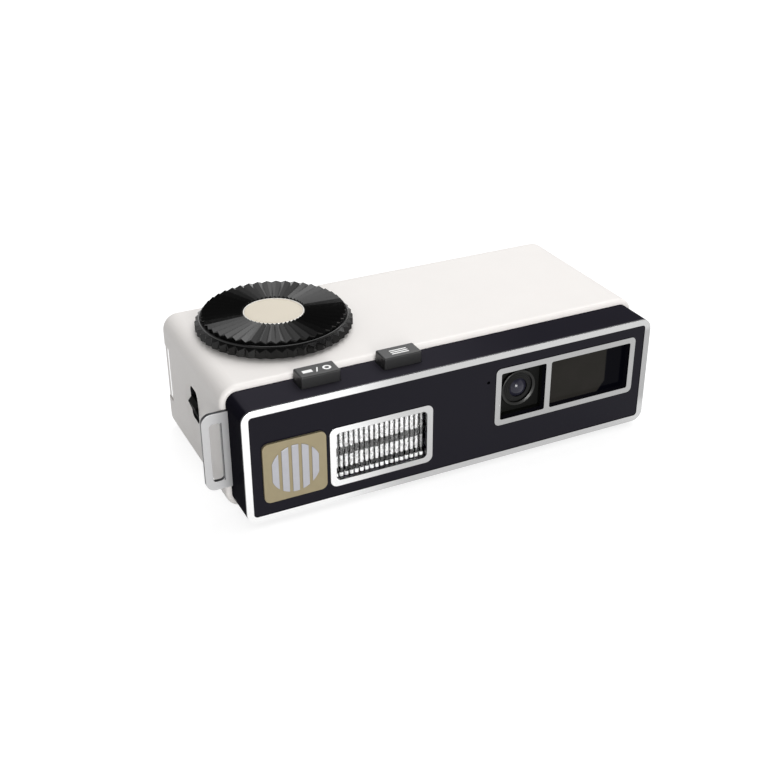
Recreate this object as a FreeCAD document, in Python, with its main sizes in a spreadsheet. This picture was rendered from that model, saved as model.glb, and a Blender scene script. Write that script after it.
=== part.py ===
import FreeCAD, Part

import os
import re
import math

import Sketcher

os.makedirs("parts", exist_ok=True)
doc = FreeCAD.newDocument("retro_digital_camera")
Vector = FreeCAD.Vector

# Frame: the origin is the tripod thread's axis in the base plane, at the middle of the white body.
# +Z is up, the front faces -Y, and +X is to the right as seen from the front. All sizes are mm.
SIZES = {
    # white body
    "body_width": 107.56,
    "body_depth": 43.4,
    "body_height": 30.76,
    "body_corner": 4.0,
    "front_lip": 1.0,
    "rear_edge": 3.0,
    "shell_wall": 1.6,
    "seat_gap": 0.3,
    "slip_gap": 0.1,
    "overshoot": 1.0,
    # glossy front block, its silver rim and its panel
    "block_margin": 1.28,
    "block_depth": 9.74,
    "block_corner": 2.72,
    "block_wall": 1.5,
    "rim_band": 1.6,
    "rim_depth": 0.5,
    "rim_inner_corner": 0.85,
    "panel_sink": 0.2,
    "panel_depth": 1.5,
    "panel_gap": 0.05,
    "frame_depth": 0.4,
    "frame_band": 1.46,
    "block_front_wall": 1.3,
    "block_boss_radius": 1.8,
    "block_boss_inset": 3.7,
    "lug_boss_low": 9.2,
    "lug_boss_high": 22.8,
    "free_boss_low": 5.2,
    "free_boss_high": 26.3,
    # badge
    "badge_centre_across": -41.0,
    "badge_centre_up": 13.4,
    "badge_side": 14.8,
    "badge_corner": 1.5,
    "badge_depth": 0.6,
    "emblem_radius": 5.9,
    "emblem_bar": 1.6,
    "emblem_pitch": 2.35,
    "emblem_depth": 0.2,
    # flash
    "flash_centre_across": -19.84,
    "flash_centre_up": 12.95,
    "flash_width": 25.52,
    "flash_height": 15.1,
    "flash_corner": 1.7,
    "flash_inner_corner": 1.1,
    "flash_lens_sink": 0.25,
    "flash_flange": 0.7,
    "flash_flange_depth": 0.5,
    "flute_count": 18,
    "flute_height": 0.55,
    "flute_foot_share": 0.9,
    "flute_tip_share": 0.4,
    "reflector_skin": 0.4,
    "tube_radius": 1.3,
    "tube_length": 19.6,
    "tube_lead": 1.2,
    "capacitor_radius": 4.5,
    "capacitor_length": 28.0,
    "capacitor_end": -44.0,
    "capacitor_across_depth": -14.8,
    # lens and viewfinder windows
    "windows_left": 9.33,
    "windows_bottom": 10.23,
    "windows_height": 15.1,
    "windows_corner": 1.3,
    "windows_inner_corner": 0.45,
    "lens_window_width": 12.15,
    "finder_window_width": 22.52,
    "divider_width": 1.47,
    "pane_depth": 1.0,
    "pane_rebate": 0.65,
    "well_wall": 0.45,
    "well_flange": 0.8,
    "well_depth": 3.0,
    "well_plate": 1.0,
    # lens
    "barrel_radius": 4.3,
    "barrel_length": 11.2,
    "barrel_stand": 0.8,
    "barrel_rim": 0.35,
    "barrel_cone_depth": 0.9,
    "element_seat": 0.3,
    "element_room": 0.4,
    "glass_radius": 1.9,
    "element_radius": 2.4,
    "element_depth": 1.6,
    "element_dome": 5.0,
    "rear_element_radius": 2.9,
    "rear_element_depth": 2.2,
    "thread_gap": 0.05,
    "holder_back_room": 1.2,
    "holder_side": 13.0,
    "holder_base": 2.6,
    "holder_cavity": 9.0,
    "holder_sleeve_radius": 5.6,
    "holder_sleeve_length": 7.8,
    "sensor_side": 7.0,
    "sensor_height": 6.0,
    "sensor_depth": 1.0,
    "board_thickness": 1.2,
    "sensor_board_side": 16.0,
    # viewfinder
    "tunnel_wall": 0.6,
    "tunnel_rear_width": 12.0,
    "tunnel_rear_height": 9.4,
    "objective_width": 15.0,
    "objective_height": 9.4,
    "objective_depth": 2.0,
    "objective_sink": 1.2,
    "objective_corner": 1.0,
    "objective_ledge": 0.5,
    "eyepiece_width": 10.6,
    "eyepiece_height": 7.6,
    "eyepiece_depth": 1.2,
    "eyepiece_ledge": 0.6,
    # microphone
    "microphone_across": 7.4,
    "microphone_up": 22.33,
    "microphone_hole": 0.4,
    "microphone_radius": 1.8,
    "microphone_depth": 1.5,
    # two keys on the front block's top
    "key_width": 9.3,
    "key_depth": 4.9,
    "key_stand": 2.72,
    "key_rear_inset": 0.55,
    "mode_key_across": -32.35,
    "menu_key_across": -12.5,
    "key_corner": 0.35,
    "key_gap": 0.12,
    "key_flange": 0.7,
    "key_flange_depth": 1.0,
    "key_travel": 0.8,
    "key_stem": 1.6,
    "key_board_drop": 7.5,
    "tact_side": 3.4,
    "tact_depth": 1.3,
    "tact_plunger": 0.8,
    "tact_plunger_height": 0.4,
    # dial wheel on the top
    "dial_across": -31.7,
    "dial_back": 2.16,
    "dial_tip_radius": 18.3,
    "dial_tooth_depth": 0.95,
    "dial_tooth_count": 46,
    "dial_tooth_flat": 0.3,
    "dial_rise": 0.32,
    "knurl_height": 2.5,
    "lip_inset": 1.2,
    "lip_height": 0.7,
    "pleat_inset": 0.6,
    "pleat_inner_radius": 7.9,
    "pleat_stand": 0.92,
    "pleat_outer_drop": 1.05,
    "cap_recess_radius": 7.45,
    "cap_recess_depth": 2.9,
    "hub_radius": 9.5,
    "hub_hole_gap": 0.35,
    "hub_bore_radius": 5.3,
    "hub_lower_radius": 8.6,
    "hub_tail": 1.86,
    "retainer_radius": 11.3,
    "retainer_depth": 0.9,
    "retainer_notch": 0.5,
    "retainer_notch_count": 24,
    "leaf_thickness": 0.3,
    "leaf_length": 12.5,
    "leaf_nose": 0.55,
    "leaf_pillar_width": 3.0,
    "leaf_pillar_depth": 2.1,
    # shutter button in the dial's middle
    "cap_radius": 7.2,
    "cap_sink": 0.45,
    "cap_thickness": 1.4,
    "cap_rim": 0.55,
    "inlay_depth": 0.35,
    "shutter_travel": 1.0,
    "shutter_stem_radius": 2.6,
    "guide_radius": 5.2,
    "guide_bore_radius": 4.3,
    "guide_stem_gap": 0.08,
    "guide_base_radius": 8.0,
    "guide_base_depth": 1.5,
    "guide_floor": 1.2,
    "guide_tip_gap": 0.2,
    "guide_shoulder_rise": 3.0,
    "coil_radius": 3.6,
    "coil_wire": 0.25,
    "coil_turns": 5,
    "dial_board_drop": 8.36,
    "dial_board_width": 27.0,
    "dial_board_depth": 20.0,
    "post_radius": 1.5,
    "post_pilot": 0.7,
    "post_pilot_depth": 5.0,
    "post_inset": 1.8,
    # strap lug
    "lug_reach": 4.72,
    "lug_bottom": 6.7,
    "lug_height": 19.05,
    "lug_thickness": 1.0,
    "lug_corner": 2.2,
    "lug_slot_width": 2.65,
    "lug_slot_height": 14.5,
    "lug_slot_bottom": 8.8,
    "lug_slot_edge": 1.7,
    "lug_slot_corner": 0.8,
    "lug_root": 6.0,
    # power slider in its thumb scoop
    "scoop_back": -1.0,
    "scoop_up": 16.2,
    "scoop_depth": 0.3,
    "scoop_offset": 2.0,
    "scoop_half_width": 10.4,
    "scoop_half_height": 16.8,
    "pad_depth": 1.6,
    "pad_width": 12.0,
    "pad_height": 18.0,
    "slider_back": -2.0,
    "slider_rest_up": 16.8,
    "slider_travel": 2.0,
    "slot_width": 5.4,
    "slot_low": 13.0,
    "slot_high": 21.2,
    "knob_width": 5.0,
    "knob_low": 14.2,
    "knob_high": 18.35,
    "knob_crest_low": 16.9,
    "knob_crest_high": 17.3,
    "knob_proud": 0.57,
    "knob_shoulder": 0.33,
    "knob_groove": 0.22,
        "slider_plate": 0.6,
    "slider_plate_width": 6.8,
    "slider_plate_height": 11.8,
    "slider_prong": 1.6,
    "slider_prong_reach": 1.2,
    "switch_depth": 3.6,
    "switch_width": 9.0,
    "switch_height": 11.0,
    # side port and its hinged cover
    "port_front": 16.06,
    "port_back": 20.4,
    "port_low": 8.8,
    "port_high": 23.2,
    "cover_sink": 0.16,
    "cover_thickness": 1.4,
    "cover_pin_radius": 0.35,
    "pin_running_gap": 0.04,
    "socket_height": 8.94,
    "socket_thickness": 3.2,
    "socket_length": 7.3,
    "socket_corner": 1.5,
    "socket_skin": 0.3,
    "socket_back_wall": 0.8,
    "tongue_thickness": 0.7,
    "tongue_inset": 1.1,
    # rear cover, screen and rear keys
    "cover_gap": 0.1,
    "rear_cover_depth": 2.0,
    "rear_cover_round": 0.6,
    "eyepiece_corner": 1.0,
    "screen_centre_across": 1.0,
    "screen_width": 42.0,
    "screen_height": 22.4,
    "screen_corner": 1.2,
    "screen_depth": 0.9,
    "screen_ledge": 1.5,
    "display_depth": 2.4,
    "display_overlap": 1.0,
    "rear_key_across": -34.5,
    "rear_key_step": 7.0,
    "rear_key_radius": 2.3,
    "ok_key_radius": 2.7,
    "rear_key_gap": 0.15,
    "rear_key_flange": 0.6,
    "rear_key_flange_depth": 0.8,
    "rear_key_proud": 0.5,
    "rear_key_travel": 0.5,
    "main_board_front": 14.8,
    "main_board_left": -51.5,
    "main_board_right": 26.3,
    "main_board_bottom": 10.8,
    "main_board_top": 23.4,
    "boss_radius": 1.5,
    "boss_pilot": 0.65,
    "processor_across": -8.0,
    "processor_side": 11.0,
    "processor_depth": 1.3,
    "memory_chip_across": 7.0,
    "memory_chip_side": 8.5,
    "memory_chip_depth": 1.0,
    "coil_chip_across": 17.0,
    "coil_chip_side": 4.0,
    "coil_chip_depth": 1.6,
    # battery bay at the right end
    "pack_length": 40.0,
    "pack_width": 31.6,
    "pack_thickness": 6.0,
    "pack_gap": 0.2,
    "pack_end_gap": 0.3,
    "contact_room": 1.6,
    "tray_wall": 0.8,
    "tray_foot": 0.5,
    "tray_mouth_inset": 1.0,
    "tray_foot_inset": 3.0,
    "contact_width": 0.8,
    "contact_height": 2.0,
    "contact_pitch": 3.0,
    "contact_inset": 5.0,
    "contact_tail": 1.8,
    "door_thickness": 1.4,
    "door_sink": 0.16,
    "door_edge_gap": 0.1,
    "door_top_room": 3.2,
    "door_pin_radius": 0.45,
    "door_pin_rise": 0.4,
    "door_pin_hold": 1.4,
    "card_socket_length": 14.5,
    "card_socket_width": 14.5,
    "card_socket_thickness": 1.4,
    "card_length": 15.0,
    "card_width": 11.0,
    "card_thickness": 0.7,
    "card_proud": 0.6,
    # tripod thread, speaker and screws
    "thread_radius": 2.6,
    "thread_depth": 6.0,
    "nut_barrel_radius": 4.9,
    "nut_flange_radius": 7.0,
    "nut_flange_depth": 1.2,
    "nut_top": 1.2,
    "speaker_radius": 7.0,
    "speaker_depth": 3.3,
    "speaker_across": -36.0,
    "speaker_back": 5.0,
    "grille_hole_radius": 0.6,
    "grille_pitch": 2.4,
    "screw_radius": 0.8,
    "screw_head_radius": 1.5,
    "screw_head_depth": 0.8,
    "screw_hole_gap": 0.2,
    "cover_screw_inset": 4.3,
    "cover_boss_radius": 2.0,
    "cover_boss_length": 9.0,
    "block_screw_reach": 4.5,
    "cover_screw_reach": 4.2,
    "board_screw_reach": 2.5,
}

sheet = doc.addObject("Spreadsheet::Sheet", "Sizes")
for row, (alias, value) in enumerate(SIZES.items(), start=1):
    sheet.set(f"A{row}", alias)
    sheet.set(f"B{row}", str(value))
    sheet.setAlias(f"B{row}", alias)
doc.recompute()


def tied(formula):
    """Turn the size names in a formula into references to the sheet's cells."""
    def cell(word):
        return f"Sizes.{word.group()}" if word.group() in SIZES else word.group()
    return re.sub(r"[a-z][a-z_0-9]*", cell, formula)


def worth(formula):
    """The number that a formula gives now."""
    return float(sheet.evalExpression(tied(formula)))


def bind(thing, prop, formula):
    """Tie one property of an object to the sheet."""
    thing.setExpression(prop, tied(formula))


def around(centre, size):
    """The low and high face of something centred on a place."""
    return f"(({centre}) - ({size}) / 2)", f"(({centre}) + ({size}) / 2)"


def wider(faces, gap):
    """A pair of faces moved apart by a gap at each end."""
    return f"({faces[0]} - ({gap}))", f"({faces[1]} + ({gap}))"


parts = {}


def keep(thing):
    """Count an object as a sub-part: its label names its file."""
    parts[thing.Label] = thing
    return thing


AXIS_TURNS = {
    "x": FreeCAD.Rotation(Vector(0, 1, 0), 90),
    "y": FreeCAD.Rotation(Vector(1, 0, 0), -90),
    "z": FreeCAD.Rotation(),
}


def block(name, across, back, up):
    """A box between a low and a high face on X, Y and Z."""
    solid = doc.addObject("Part::Box", name)
    for prop, axis, (low, high) in zip(("Length", "Width", "Height"), "xyz", (across, back, up)):
        bind(solid, prop, f"({high}) - ({low})")
        bind(solid, f"Placement.Base.{axis}", low)
    return solid


def rod(name, axis, radius, ends, at):
    """A cylinder along one axis, between two ends, centred at a place on the other two axes."""
    solid = doc.addObject("Part::Cylinder", name)
    solid.Placement = FreeCAD.Placement(Vector(), AXIS_TURNS[axis])
    bind(solid, "Radius", radius)
    bind(solid, "Height", f"({ends[1]}) - ({ends[0]})")
    bind(solid, f"Placement.Base.{axis}", ends[0])
    for other, place in zip([letter for letter in "xyz" if letter != axis], at):
        bind(solid, f"Placement.Base.{other}", place)
    return solid


def ball(name, radius, at):
    """A sphere."""
    solid = doc.addObject("Part::Sphere", name)
    bind(solid, "Radius", radius)
    for axis, place in zip("xyz", at):
        bind(solid, f"Placement.Base.{axis}", place)
    return solid


def joined(name, *solids):
    """One solid fused from several."""
    result = doc.addObject("Part::MultiFuse", name)
    result.Shapes = list(solids)
    return result


def carved(name, solid, *tools):
    """A solid with other solids cut out of it."""
    result = doc.addObject("Part::Cut", name)
    result.Base = solid
    result.Tool = tools[0] if len(tools) == 1 else joined(name + "_tools", *tools)
    return result


def shared(name, first, second):
    """What two solids have in common."""
    result = doc.addObject("Part::Common", name)
    result.Base = first
    result.Tool = second
    return result


def together(name, *solids):
    """Several separate solids kept as one sub-part."""
    result = doc.addObject("Part::Compound", name)
    result.Links = list(solids)
    return result


def softened(name, solid, radius, chosen):
    """A solid with the chosen edges rounded."""
    doc.recompute()
    result = doc.addObject("Part::Fillet", name)
    result.Base = solid
    size = worth(radius)
    edges = enumerate(solid.Shape.Edges, start=1)
    result.Edges = [(number, size, size) for number, edge in edges if chosen(edge)]
    return result


def along(axis):
    """Choose the straight edges that run along one axis."""
    direction = {"x": Vector(1, 0, 0), "y": Vector(0, 1, 0), "z": Vector(0, 0, 1)}[axis]

    def chosen(edge):
        if edge.Curve.TypeId != "Part::GeomLine":
            return False
        return abs(edge.Curve.Direction.dot(direction)) > 0.999
    return chosen


def lying_at(axis, place):
    """Choose the edges that lie wholly in one plane across an axis."""
    low, high = {"x": ("XMin", "XMax"), "y": ("YMin", "YMax"), "z": ("ZMin", "ZMax")}[axis]
    level = worth(place)

    def chosen(edge):
        box = edge.BoundBox
        return abs(getattr(box, low) - level) < 1e-4 and abs(getattr(box, high) - level) < 1e-4
    return chosen


PLANES = {"front": ("XZ_Plane", -1), "top": ("XY_Plane", 1), "side": ("YZ_Plane", 1)}


class Drawing:
    """A sketch on one of a body's own planes, at a place along that plane's axis."""

    def __init__(self, body, name, view, at):
        role, self.sense = PLANES[view]
        self.at = at
        self.sketch = body.newObject("Sketcher::SketchObject", name)
        plane = next(item for item in body.Origin.OriginFeatures if item.Role == role)
        self.sketch.AttachmentSupport = [(plane, "")]
        self.sketch.MapMode = "FlatFace"
        bind(self.sketch, "AttachmentOffset.Base.z", at if self.sense > 0 else f"-({at})")

    def tie(self, kind, geometry, point, formula):
        """Hold one point of the drawing at a place on its X or Y axis."""
        number = self.sketch.addConstraint(
            Sketcher.Constraint(kind, -1, 1, geometry, point, worth(formula)))
        bind(self.sketch, f"Constraints[{number}]", formula)

    def radius(self, geometry, formula):
        """Set the radius of a circle or an arc."""
        number = self.sketch.addConstraint(Sketcher.Constraint("Radius", geometry, worth(formula)))
        bind(self.sketch, f"Constraints[{number}]", formula)

    def outline(self, *corners):
        """A closed outline of straight lines through its corners."""
        places = [Vector(worth(across), worth(up), 0) for across, up in corners]
        first = self.sketch.GeometryCount
        for number, start in enumerate(places):
            end = places[(number + 1) % len(places)]
            self.sketch.addGeometry(Part.LineSegment(start, end), False)
        for number, (across, up) in enumerate(corners):
            following = first + (number + 1) % len(corners)
            join = Sketcher.Constraint("Coincident", first + number, 2, following, 1)
            self.sketch.addConstraint(join)
            self.tie("DistanceX", first + number, 1, across)
            self.tie("DistanceY", first + number, 1, up)
        return self

    def circle(self, across, up, radius):
        """A circle."""
        centre = Vector(worth(across), worth(up), 0)
        curve = Part.Circle(centre, Vector(0, 0, 1), worth(radius))
        number = self.sketch.addGeometry(curve, False)
        self.tie("DistanceX", number, 3, across)
        self.tie("DistanceY", number, 3, up)
        self.radius(number, radius)
        return self

    def rectangle(self, across, up, corner=None):
        """A rectangle between two pairs of faces, with rounded corners if a radius is given."""
        if corner is None:
            (left, right), (bottom, top) = across, up
            return self.outline((left, bottom), (right, bottom), (right, top), (left, top))
        left, right = (worth(face) for face in across)
        bottom, top = (worth(face) for face in up)
        bend = worth(corner)
        first = self.sketch.GeometryCount
        sides = (
            (left + bend, bottom, right - bend, bottom),
            (right, bottom + bend, right, top - bend),
            (right - bend, top, left + bend, top),
            (left, top - bend, left, bottom + bend),
        )
        for x1, y1, x2, y2 in sides:
            line = Part.LineSegment(Vector(x1, y1, 0), Vector(x2, y2, 0))
            self.sketch.addGeometry(line, False)
        centres = (
            (right - bend, bottom + bend),
            (right - bend, top - bend),
            (left + bend, top - bend),
            (left + bend, bottom + bend),
        )
        for number, (x, y) in enumerate(centres):
            start = math.radians(90 * number - 90)
            circle = Part.Circle(Vector(x, y, 0), Vector(0, 0, 1), bend)
            self.sketch.addGeometry(Part.ArcOfCircle(circle, start, start + math.pi / 2), False)
        for number in range(4):
            line, arc = first + number, first + 4 + number
            following = first + (number + 1) % 4
            self.sketch.addConstraint(Sketcher.Constraint("Tangent", line, 2, arc, 1))
            self.sketch.addConstraint(Sketcher.Constraint("Tangent", arc, 2, following, 1))
            kind = "Horizontal" if number % 2 == 0 else "Vertical"
            self.sketch.addConstraint(Sketcher.Constraint(kind, line))
        for number in (5, 6, 7):
            self.sketch.addConstraint(Sketcher.Constraint("Equal", first + 4, first + number))
        self.radius(first + 4, corner)
        self.tie("DistanceX", first + 3, 1, across[0])
        self.tie("DistanceX", first + 1, 1, across[1])
        self.tie("DistanceY", first, 1, up[0])
        self.tie("DistanceY", first + 2, 1, up[1])
        return self


class Piece:
    """A sub-part made as a body of sketched features."""

    def __init__(self, name, at=("0", "0", "0")):
        self.body = keep(doc.addObject("PartDesign::Body", name))
        self.name = name
        self.count = 0
        for axis, place in zip("xyz", at):
            bind(self.body, f"Placement.Base.{axis}", place)

    def label(self, word):
        """A name for the next sketch or feature."""
        self.count += 1
        return f"{self.name}_{word}_{self.count}"

    def draw(self, view, at="0"):
        """A new sketch on the front, top or side plane, at a place along that plane's axis."""
        return Drawing(self.body, self.label("sketch"), view, at)

    def volume(self):
        """The volume so far."""
        doc.recompute()
        return self.body.Shape.Volume if self.body.Tip else 0.0

    def grow(self, kind, drawing, to, more):
        """Add or cut a straight run from a drawing to a place along its axis."""
        before = self.volume()
        feature = self.body.newObject(f"PartDesign::{kind}", self.label(kind.lower()))
        feature.Profile = drawing.sketch
        bind(feature, "Length", f"abs(({to}) - ({drawing.at}))")
        forwards = worth(to) > worth(drawing.at)
        feature.Reversed = forwards != ((drawing.sense > 0) == more)
        after = self.volume()
        if (after > before) != more:
            raise ValueError(f"{feature.Name} changed nothing")
        return feature

    def pad(self, drawing, to):
        """Material from a drawing to a place along its axis."""
        return self.grow("Pad", drawing, to, True)

    def pocket(self, drawing, to):
        """A cut from a drawing to a place along its axis."""
        return self.grow("Pocket", drawing, to, False)

    def turn(self, drawing, cutting=False):
        """A full turn of a drawing about its upright axis."""
        before = self.volume()
        kind = "Groove" if cutting else "Revolution"
        feature = self.body.newObject(f"PartDesign::{kind}", self.label(kind.lower()))
        feature.Profile = drawing.sketch
        feature.ReferenceAxis = (drawing.sketch, ["V_Axis"])
        feature.Angle = 360
        after = self.volume()
        if (after < before) != cutting:
            raise ValueError(f"{feature.Name} changed nothing")
        return feature

    def loft(self, first, second, cutting=False):
        """A straight taper between two drawings."""
        before = self.volume()
        kind = "SubtractiveLoft" if cutting else "AdditiveLoft"
        feature = self.body.newObject(f"PartDesign::{kind}", self.label("loft"))
        feature.Profile = first.sketch
        feature.Sections = [second.sketch]
        feature.Ruled = True
        after = self.volume()
        if (after < before) != cutting:
            raise ValueError(f"{feature.Name} changed nothing")
        return feature

    def hollow(self, shape, at, **sizes):
        """A cut in the shape of a sphere or an ellipsoid, centred on a place."""
        before = self.volume()
        feature = self.body.newObject(f"PartDesign::Subtractive{shape}", self.label(shape.lower()))
        for prop, formula in sizes.items():
            bind(feature, prop, formula)
        for axis, place in zip("xyz", at):
            bind(feature, f"Placement.Base.{axis}", place)
        if self.volume() >= before:
            raise ValueError(f"{feature.Name} changed nothing")
        return feature

    def origin_axis(self, letter):
        """One of the body's own axes."""
        role = f"{letter.upper()}_Axis"
        return next(item for item in self.body.Origin.OriginFeatures if item.Role == role)

    def ring(self, feature, axis, count):
        """Copies of a feature round an axis."""
        pattern = self.body.newObject("PartDesign::PolarPattern", self.label("ring"))
        pattern.Originals = [feature]
        pattern.Axis = (self.origin_axis(axis), [""])
        pattern.Angle = 360
        bind(pattern, "Occurrences", count)
        self.body.Tip = pattern
        doc.recompute()
        return pattern

    def row(self, feature, axis, length, count):
        """Copies of a feature along an axis."""
        pattern = self.body.newObject("PartDesign::LinearPattern", self.label("row"))
        pattern.Originals = [feature]
        pattern.Direction = (self.origin_axis(axis), [""])
        bind(pattern, "Length", length)
        bind(pattern, "Occurrences", count)
        self.body.Tip = pattern
        doc.recompute()
        return pattern

    def soften(self, radius, *tests):
        """Round the edges that pass one of the tests."""
        doc.recompute()
        last = self.body.Tip
        edges = enumerate(last.Shape.Edges, start=1)
        names = [f"Edge{number}" for number, edge in edges if any(test(edge) for test in tests)]
        feature = self.body.newObject("PartDesign::Fillet", self.label("fillet"))
        feature.Base = (last, names)
        bind(feature, "Radius", radius)
        doc.recompute()
        return feature


# Places that several pieces share
body_front = "(-body_depth / 2)"
body_rear = "(body_depth / 2)"
body_across = around("0", "body_width")
body_up = ("0", "body_height")
inside_across = wider(body_across, "-shell_wall")
inside_up = ("shell_wall", "(body_height - shell_wall)")
inside_front = f"({body_front} + shell_wall)"
middle_up = "(body_height / 2)"
block_across = wider(body_across, "-block_margin")
block_up = wider(body_up, "-block_margin")
nose = f"({body_front} - block_depth)"
block_nose = f"({nose} + rim_depth)"
panel_front = f"({nose} + panel_sink)"
panel_rear = f"({panel_front} + panel_depth)"
frame_rear = f"({nose} + frame_depth)"
bay_front = f"({panel_rear} + block_front_wall)"
panel_across = wider(block_across, "-(rim_band + panel_gap)")
panel_up = wider(block_up, "-(rim_band + panel_gap)")
bay_across = wider(block_across, "-block_wall")
bay_up = wider(block_up, "-block_wall")
rear_inside = f"({body_rear} - rear_cover_depth)"

flash_across = around("flash_centre_across", "flash_width")
flash_up = around("flash_centre_up", "flash_height")
flash_window_across = wider(flash_across, "-frame_band")
flash_window_up = wider(flash_up, "-frame_band")
lens_window_across = (
    "(windows_left + frame_band)",
    "(windows_left + frame_band + lens_window_width)",
)
finder_window_across = (
    f"({lens_window_across[1]} + divider_width)",
    f"({lens_window_across[1]} + divider_width + finder_window_width)",
)
windows_across = ("windows_left", f"({finder_window_across[1]} + frame_band)")
windows_up = ("windows_bottom", "(windows_bottom + windows_height)")
window_up = wider(windows_up, "-frame_band")
lens_across = f"(({lens_window_across[0]} + {lens_window_across[1]}) / 2)"
lens_up = "(windows_bottom + windows_height / 2)"
finder_across = f"(({finder_window_across[0]} + {finder_window_across[1]}) / 2)"
left_wall = f"({body_across[0]} + shell_wall)"
right_wall = f"({body_across[1]} - shell_wall)"
tray_top = "(shell_wall + seat_gap + tray_foot + 2 * tray_wall + pack_thickness + 2 * pack_gap)"
tray_floor = "(shell_wall + seat_gap + tray_foot)"


def white_body():
    """The moulded white shell: front wall, sides, top and base, open at the rear."""
    shell = Piece("main_shell")
    outline = shell.draw("front", body_front).rectangle(body_across, body_up, "body_corner")
    shell.pad(outline, body_rear)
    shell.soften("front_lip", lying_at("y", body_front))
    shell.soften("rear_edge", lying_at("y", body_rear))
    cavity = shell.draw("front", body_rear)
    cavity.rectangle(inside_across, inside_up, "body_corner - shell_wall")
    shell.pocket(cavity, inside_front)

    # posts under the top that carry the dial's board, and the pillar of the detent leaf
    posts = shell.draw("top", "body_height - shell_wall / 2")
    for across, back in dial_posts:
        posts.circle(across, back, "post_radius")
    shell.pad(posts, f"{dial_board_top} + slip_gap / 2")
    pillar = shell.draw("top", "body_height - shell_wall / 2")
    pillar.rectangle(around(leaf_end, "leaf_pillar_width"), around(leaf_back, "leaf_pillar_depth"))
    shell.pad(pillar, f"{retainer_top} - retainer_depth - slip_gap")
    pilots = shell.draw("top", dial_board_top)
    for across, back in dial_posts:
        pilots.circle(across, back, "post_pilot")
    shell.pocket(pilots, f"{dial_board_top} + post_pilot_depth")

    # thick pad behind the thumb scoop, and the bosses of the rear cover's screws
    pad = shell.draw("side", f"{left_wall} - shell_wall / 2")
    pad.rectangle(around("scoop_back", "pad_width"), around("scoop_up", "pad_height"), "post_radius")
    shell.pad(pad, f"{left_wall} + pad_depth")
    bosses = shell.draw("front", f"{rear_inside} - slip_gap")
    for across, up in cover_screw_places:
        bosses.circle(across, up, "cover_boss_radius")
    shell.pad(bosses, f"{rear_inside} - slip_gap - cover_boss_length")
    pilots = shell.draw("front", f"{rear_inside} - slip_gap")
    for across, up in cover_screw_places:
        pilots.circle(across, up, "screw_radius")
    shell.pocket(pilots, f"{rear_inside} - slip_gap - cover_boss_length / 2")

    # openings in the front wall for the flash, the lens and the viewfinder
    openings = shell.draw("front", body_front)
    openings.rectangle(wider(flash_window_across, "seat_gap"), wider(flash_window_up, "seat_gap"))
    openings.rectangle(
        wider((lens_window_across[0], finder_window_across[1]), "seat_gap"),
        wider(window_up, "seat_gap + tunnel_wall"))
    for across, up in block_screw_places:
        openings.circle(across, up, "screw_radius + screw_hole_gap")
    shell.pocket(openings, inside_front)

    # round hole for the dial's hub, tripod hole and speaker grille
    hub_hole = shell.draw("top", "body_height")
    hub_hole.circle("dial_across", "dial_back", "hub_radius + hub_hole_gap")
    shell.pocket(hub_hole, "body_height - shell_wall")
    base = shell.draw("top", "0")
    base.circle("0", "0", "nut_barrel_radius + slip_gap")
    for column in (-1, 0, 1):
        for line in (-1, 0, 1):
            base.circle(f"speaker_across + {column} * grille_pitch",
                        f"speaker_back + {line} * grille_pitch", "grille_hole_radius")
    shell.pocket(base, "shell_wall")

    # thumb scoop, and the slot of the power slider in it
    shell.hollow("Ellipsoid", (f"({body_across[0]} - scoop_offset)", "scoop_back", "scoop_up"),
                 Radius1="scoop_half_height", Radius2="scoop_depth + scoop_offset",
                 Radius3="scoop_half_width")
    slot = shell.draw("side", body_across[0])
    slot.rectangle(around("slider_back", "slot_width"), ("slot_low", "slot_high"), "slot_width / 4")
    shell.pocket(slot, f"{left_wall} + pad_depth")

    # side port, battery opening and the holes of their hinge pins
    port = shell.draw("side", f"{body_across[0]}")
    port.rectangle(("port_front", "port_back"), ("port_low", "port_high"))
    shell.pocket(port, f"{left_wall}")
    pin = shell.draw("front", "port_front")
    pin.circle(port_pin_across, port_pin_up, "cover_pin_radius")
    shell.pocket(pin, "port_front - door_pin_hold")
    bay = shell.draw("side", f"{body_across[1]}")
    bay.rectangle(wider(door_back, "door_edge_gap"), door_opening_up)
    shell.pocket(bay, f"{right_wall}")
    for end, sign in zip(door_back, "-+"):
        pin = shell.draw("front", f"{end} {sign} door_edge_gap")
        pin.circle(door_pin_across, door_pin_up, "door_pin_radius")
        shell.pocket(pin, f"{end} {sign} door_edge_gap {sign} door_pin_hold")
    return shell


# Levels and radii of the dial, its board, the shutter button and the two front keys
dial_board_top = "(body_height - dial_board_drop)"
dial_foot = "(body_height + dial_rise)"
knurl_top = f"({dial_foot} + knurl_height)"
lip_top = f"({knurl_top} + lip_height)"
pleat_top = f"({lip_top} + pleat_stand)"
dial_recess = f"({pleat_top} - cap_recess_depth)"
cap_top = f"({pleat_top} - cap_sink)"
guide_shoulder = f"({dial_board_top} + guide_shoulder_rise)"
guide_top = f"({dial_recess} - guide_tip_gap)"
key_top = f"({block_up[1]} + key_stand)"
valley_radius = "(dial_tip_radius - dial_tooth_depth)"
lip_radius = "(dial_tip_radius - lip_inset)"
pleat_outer_radius = f"({lip_radius} - pleat_inset)"

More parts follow.
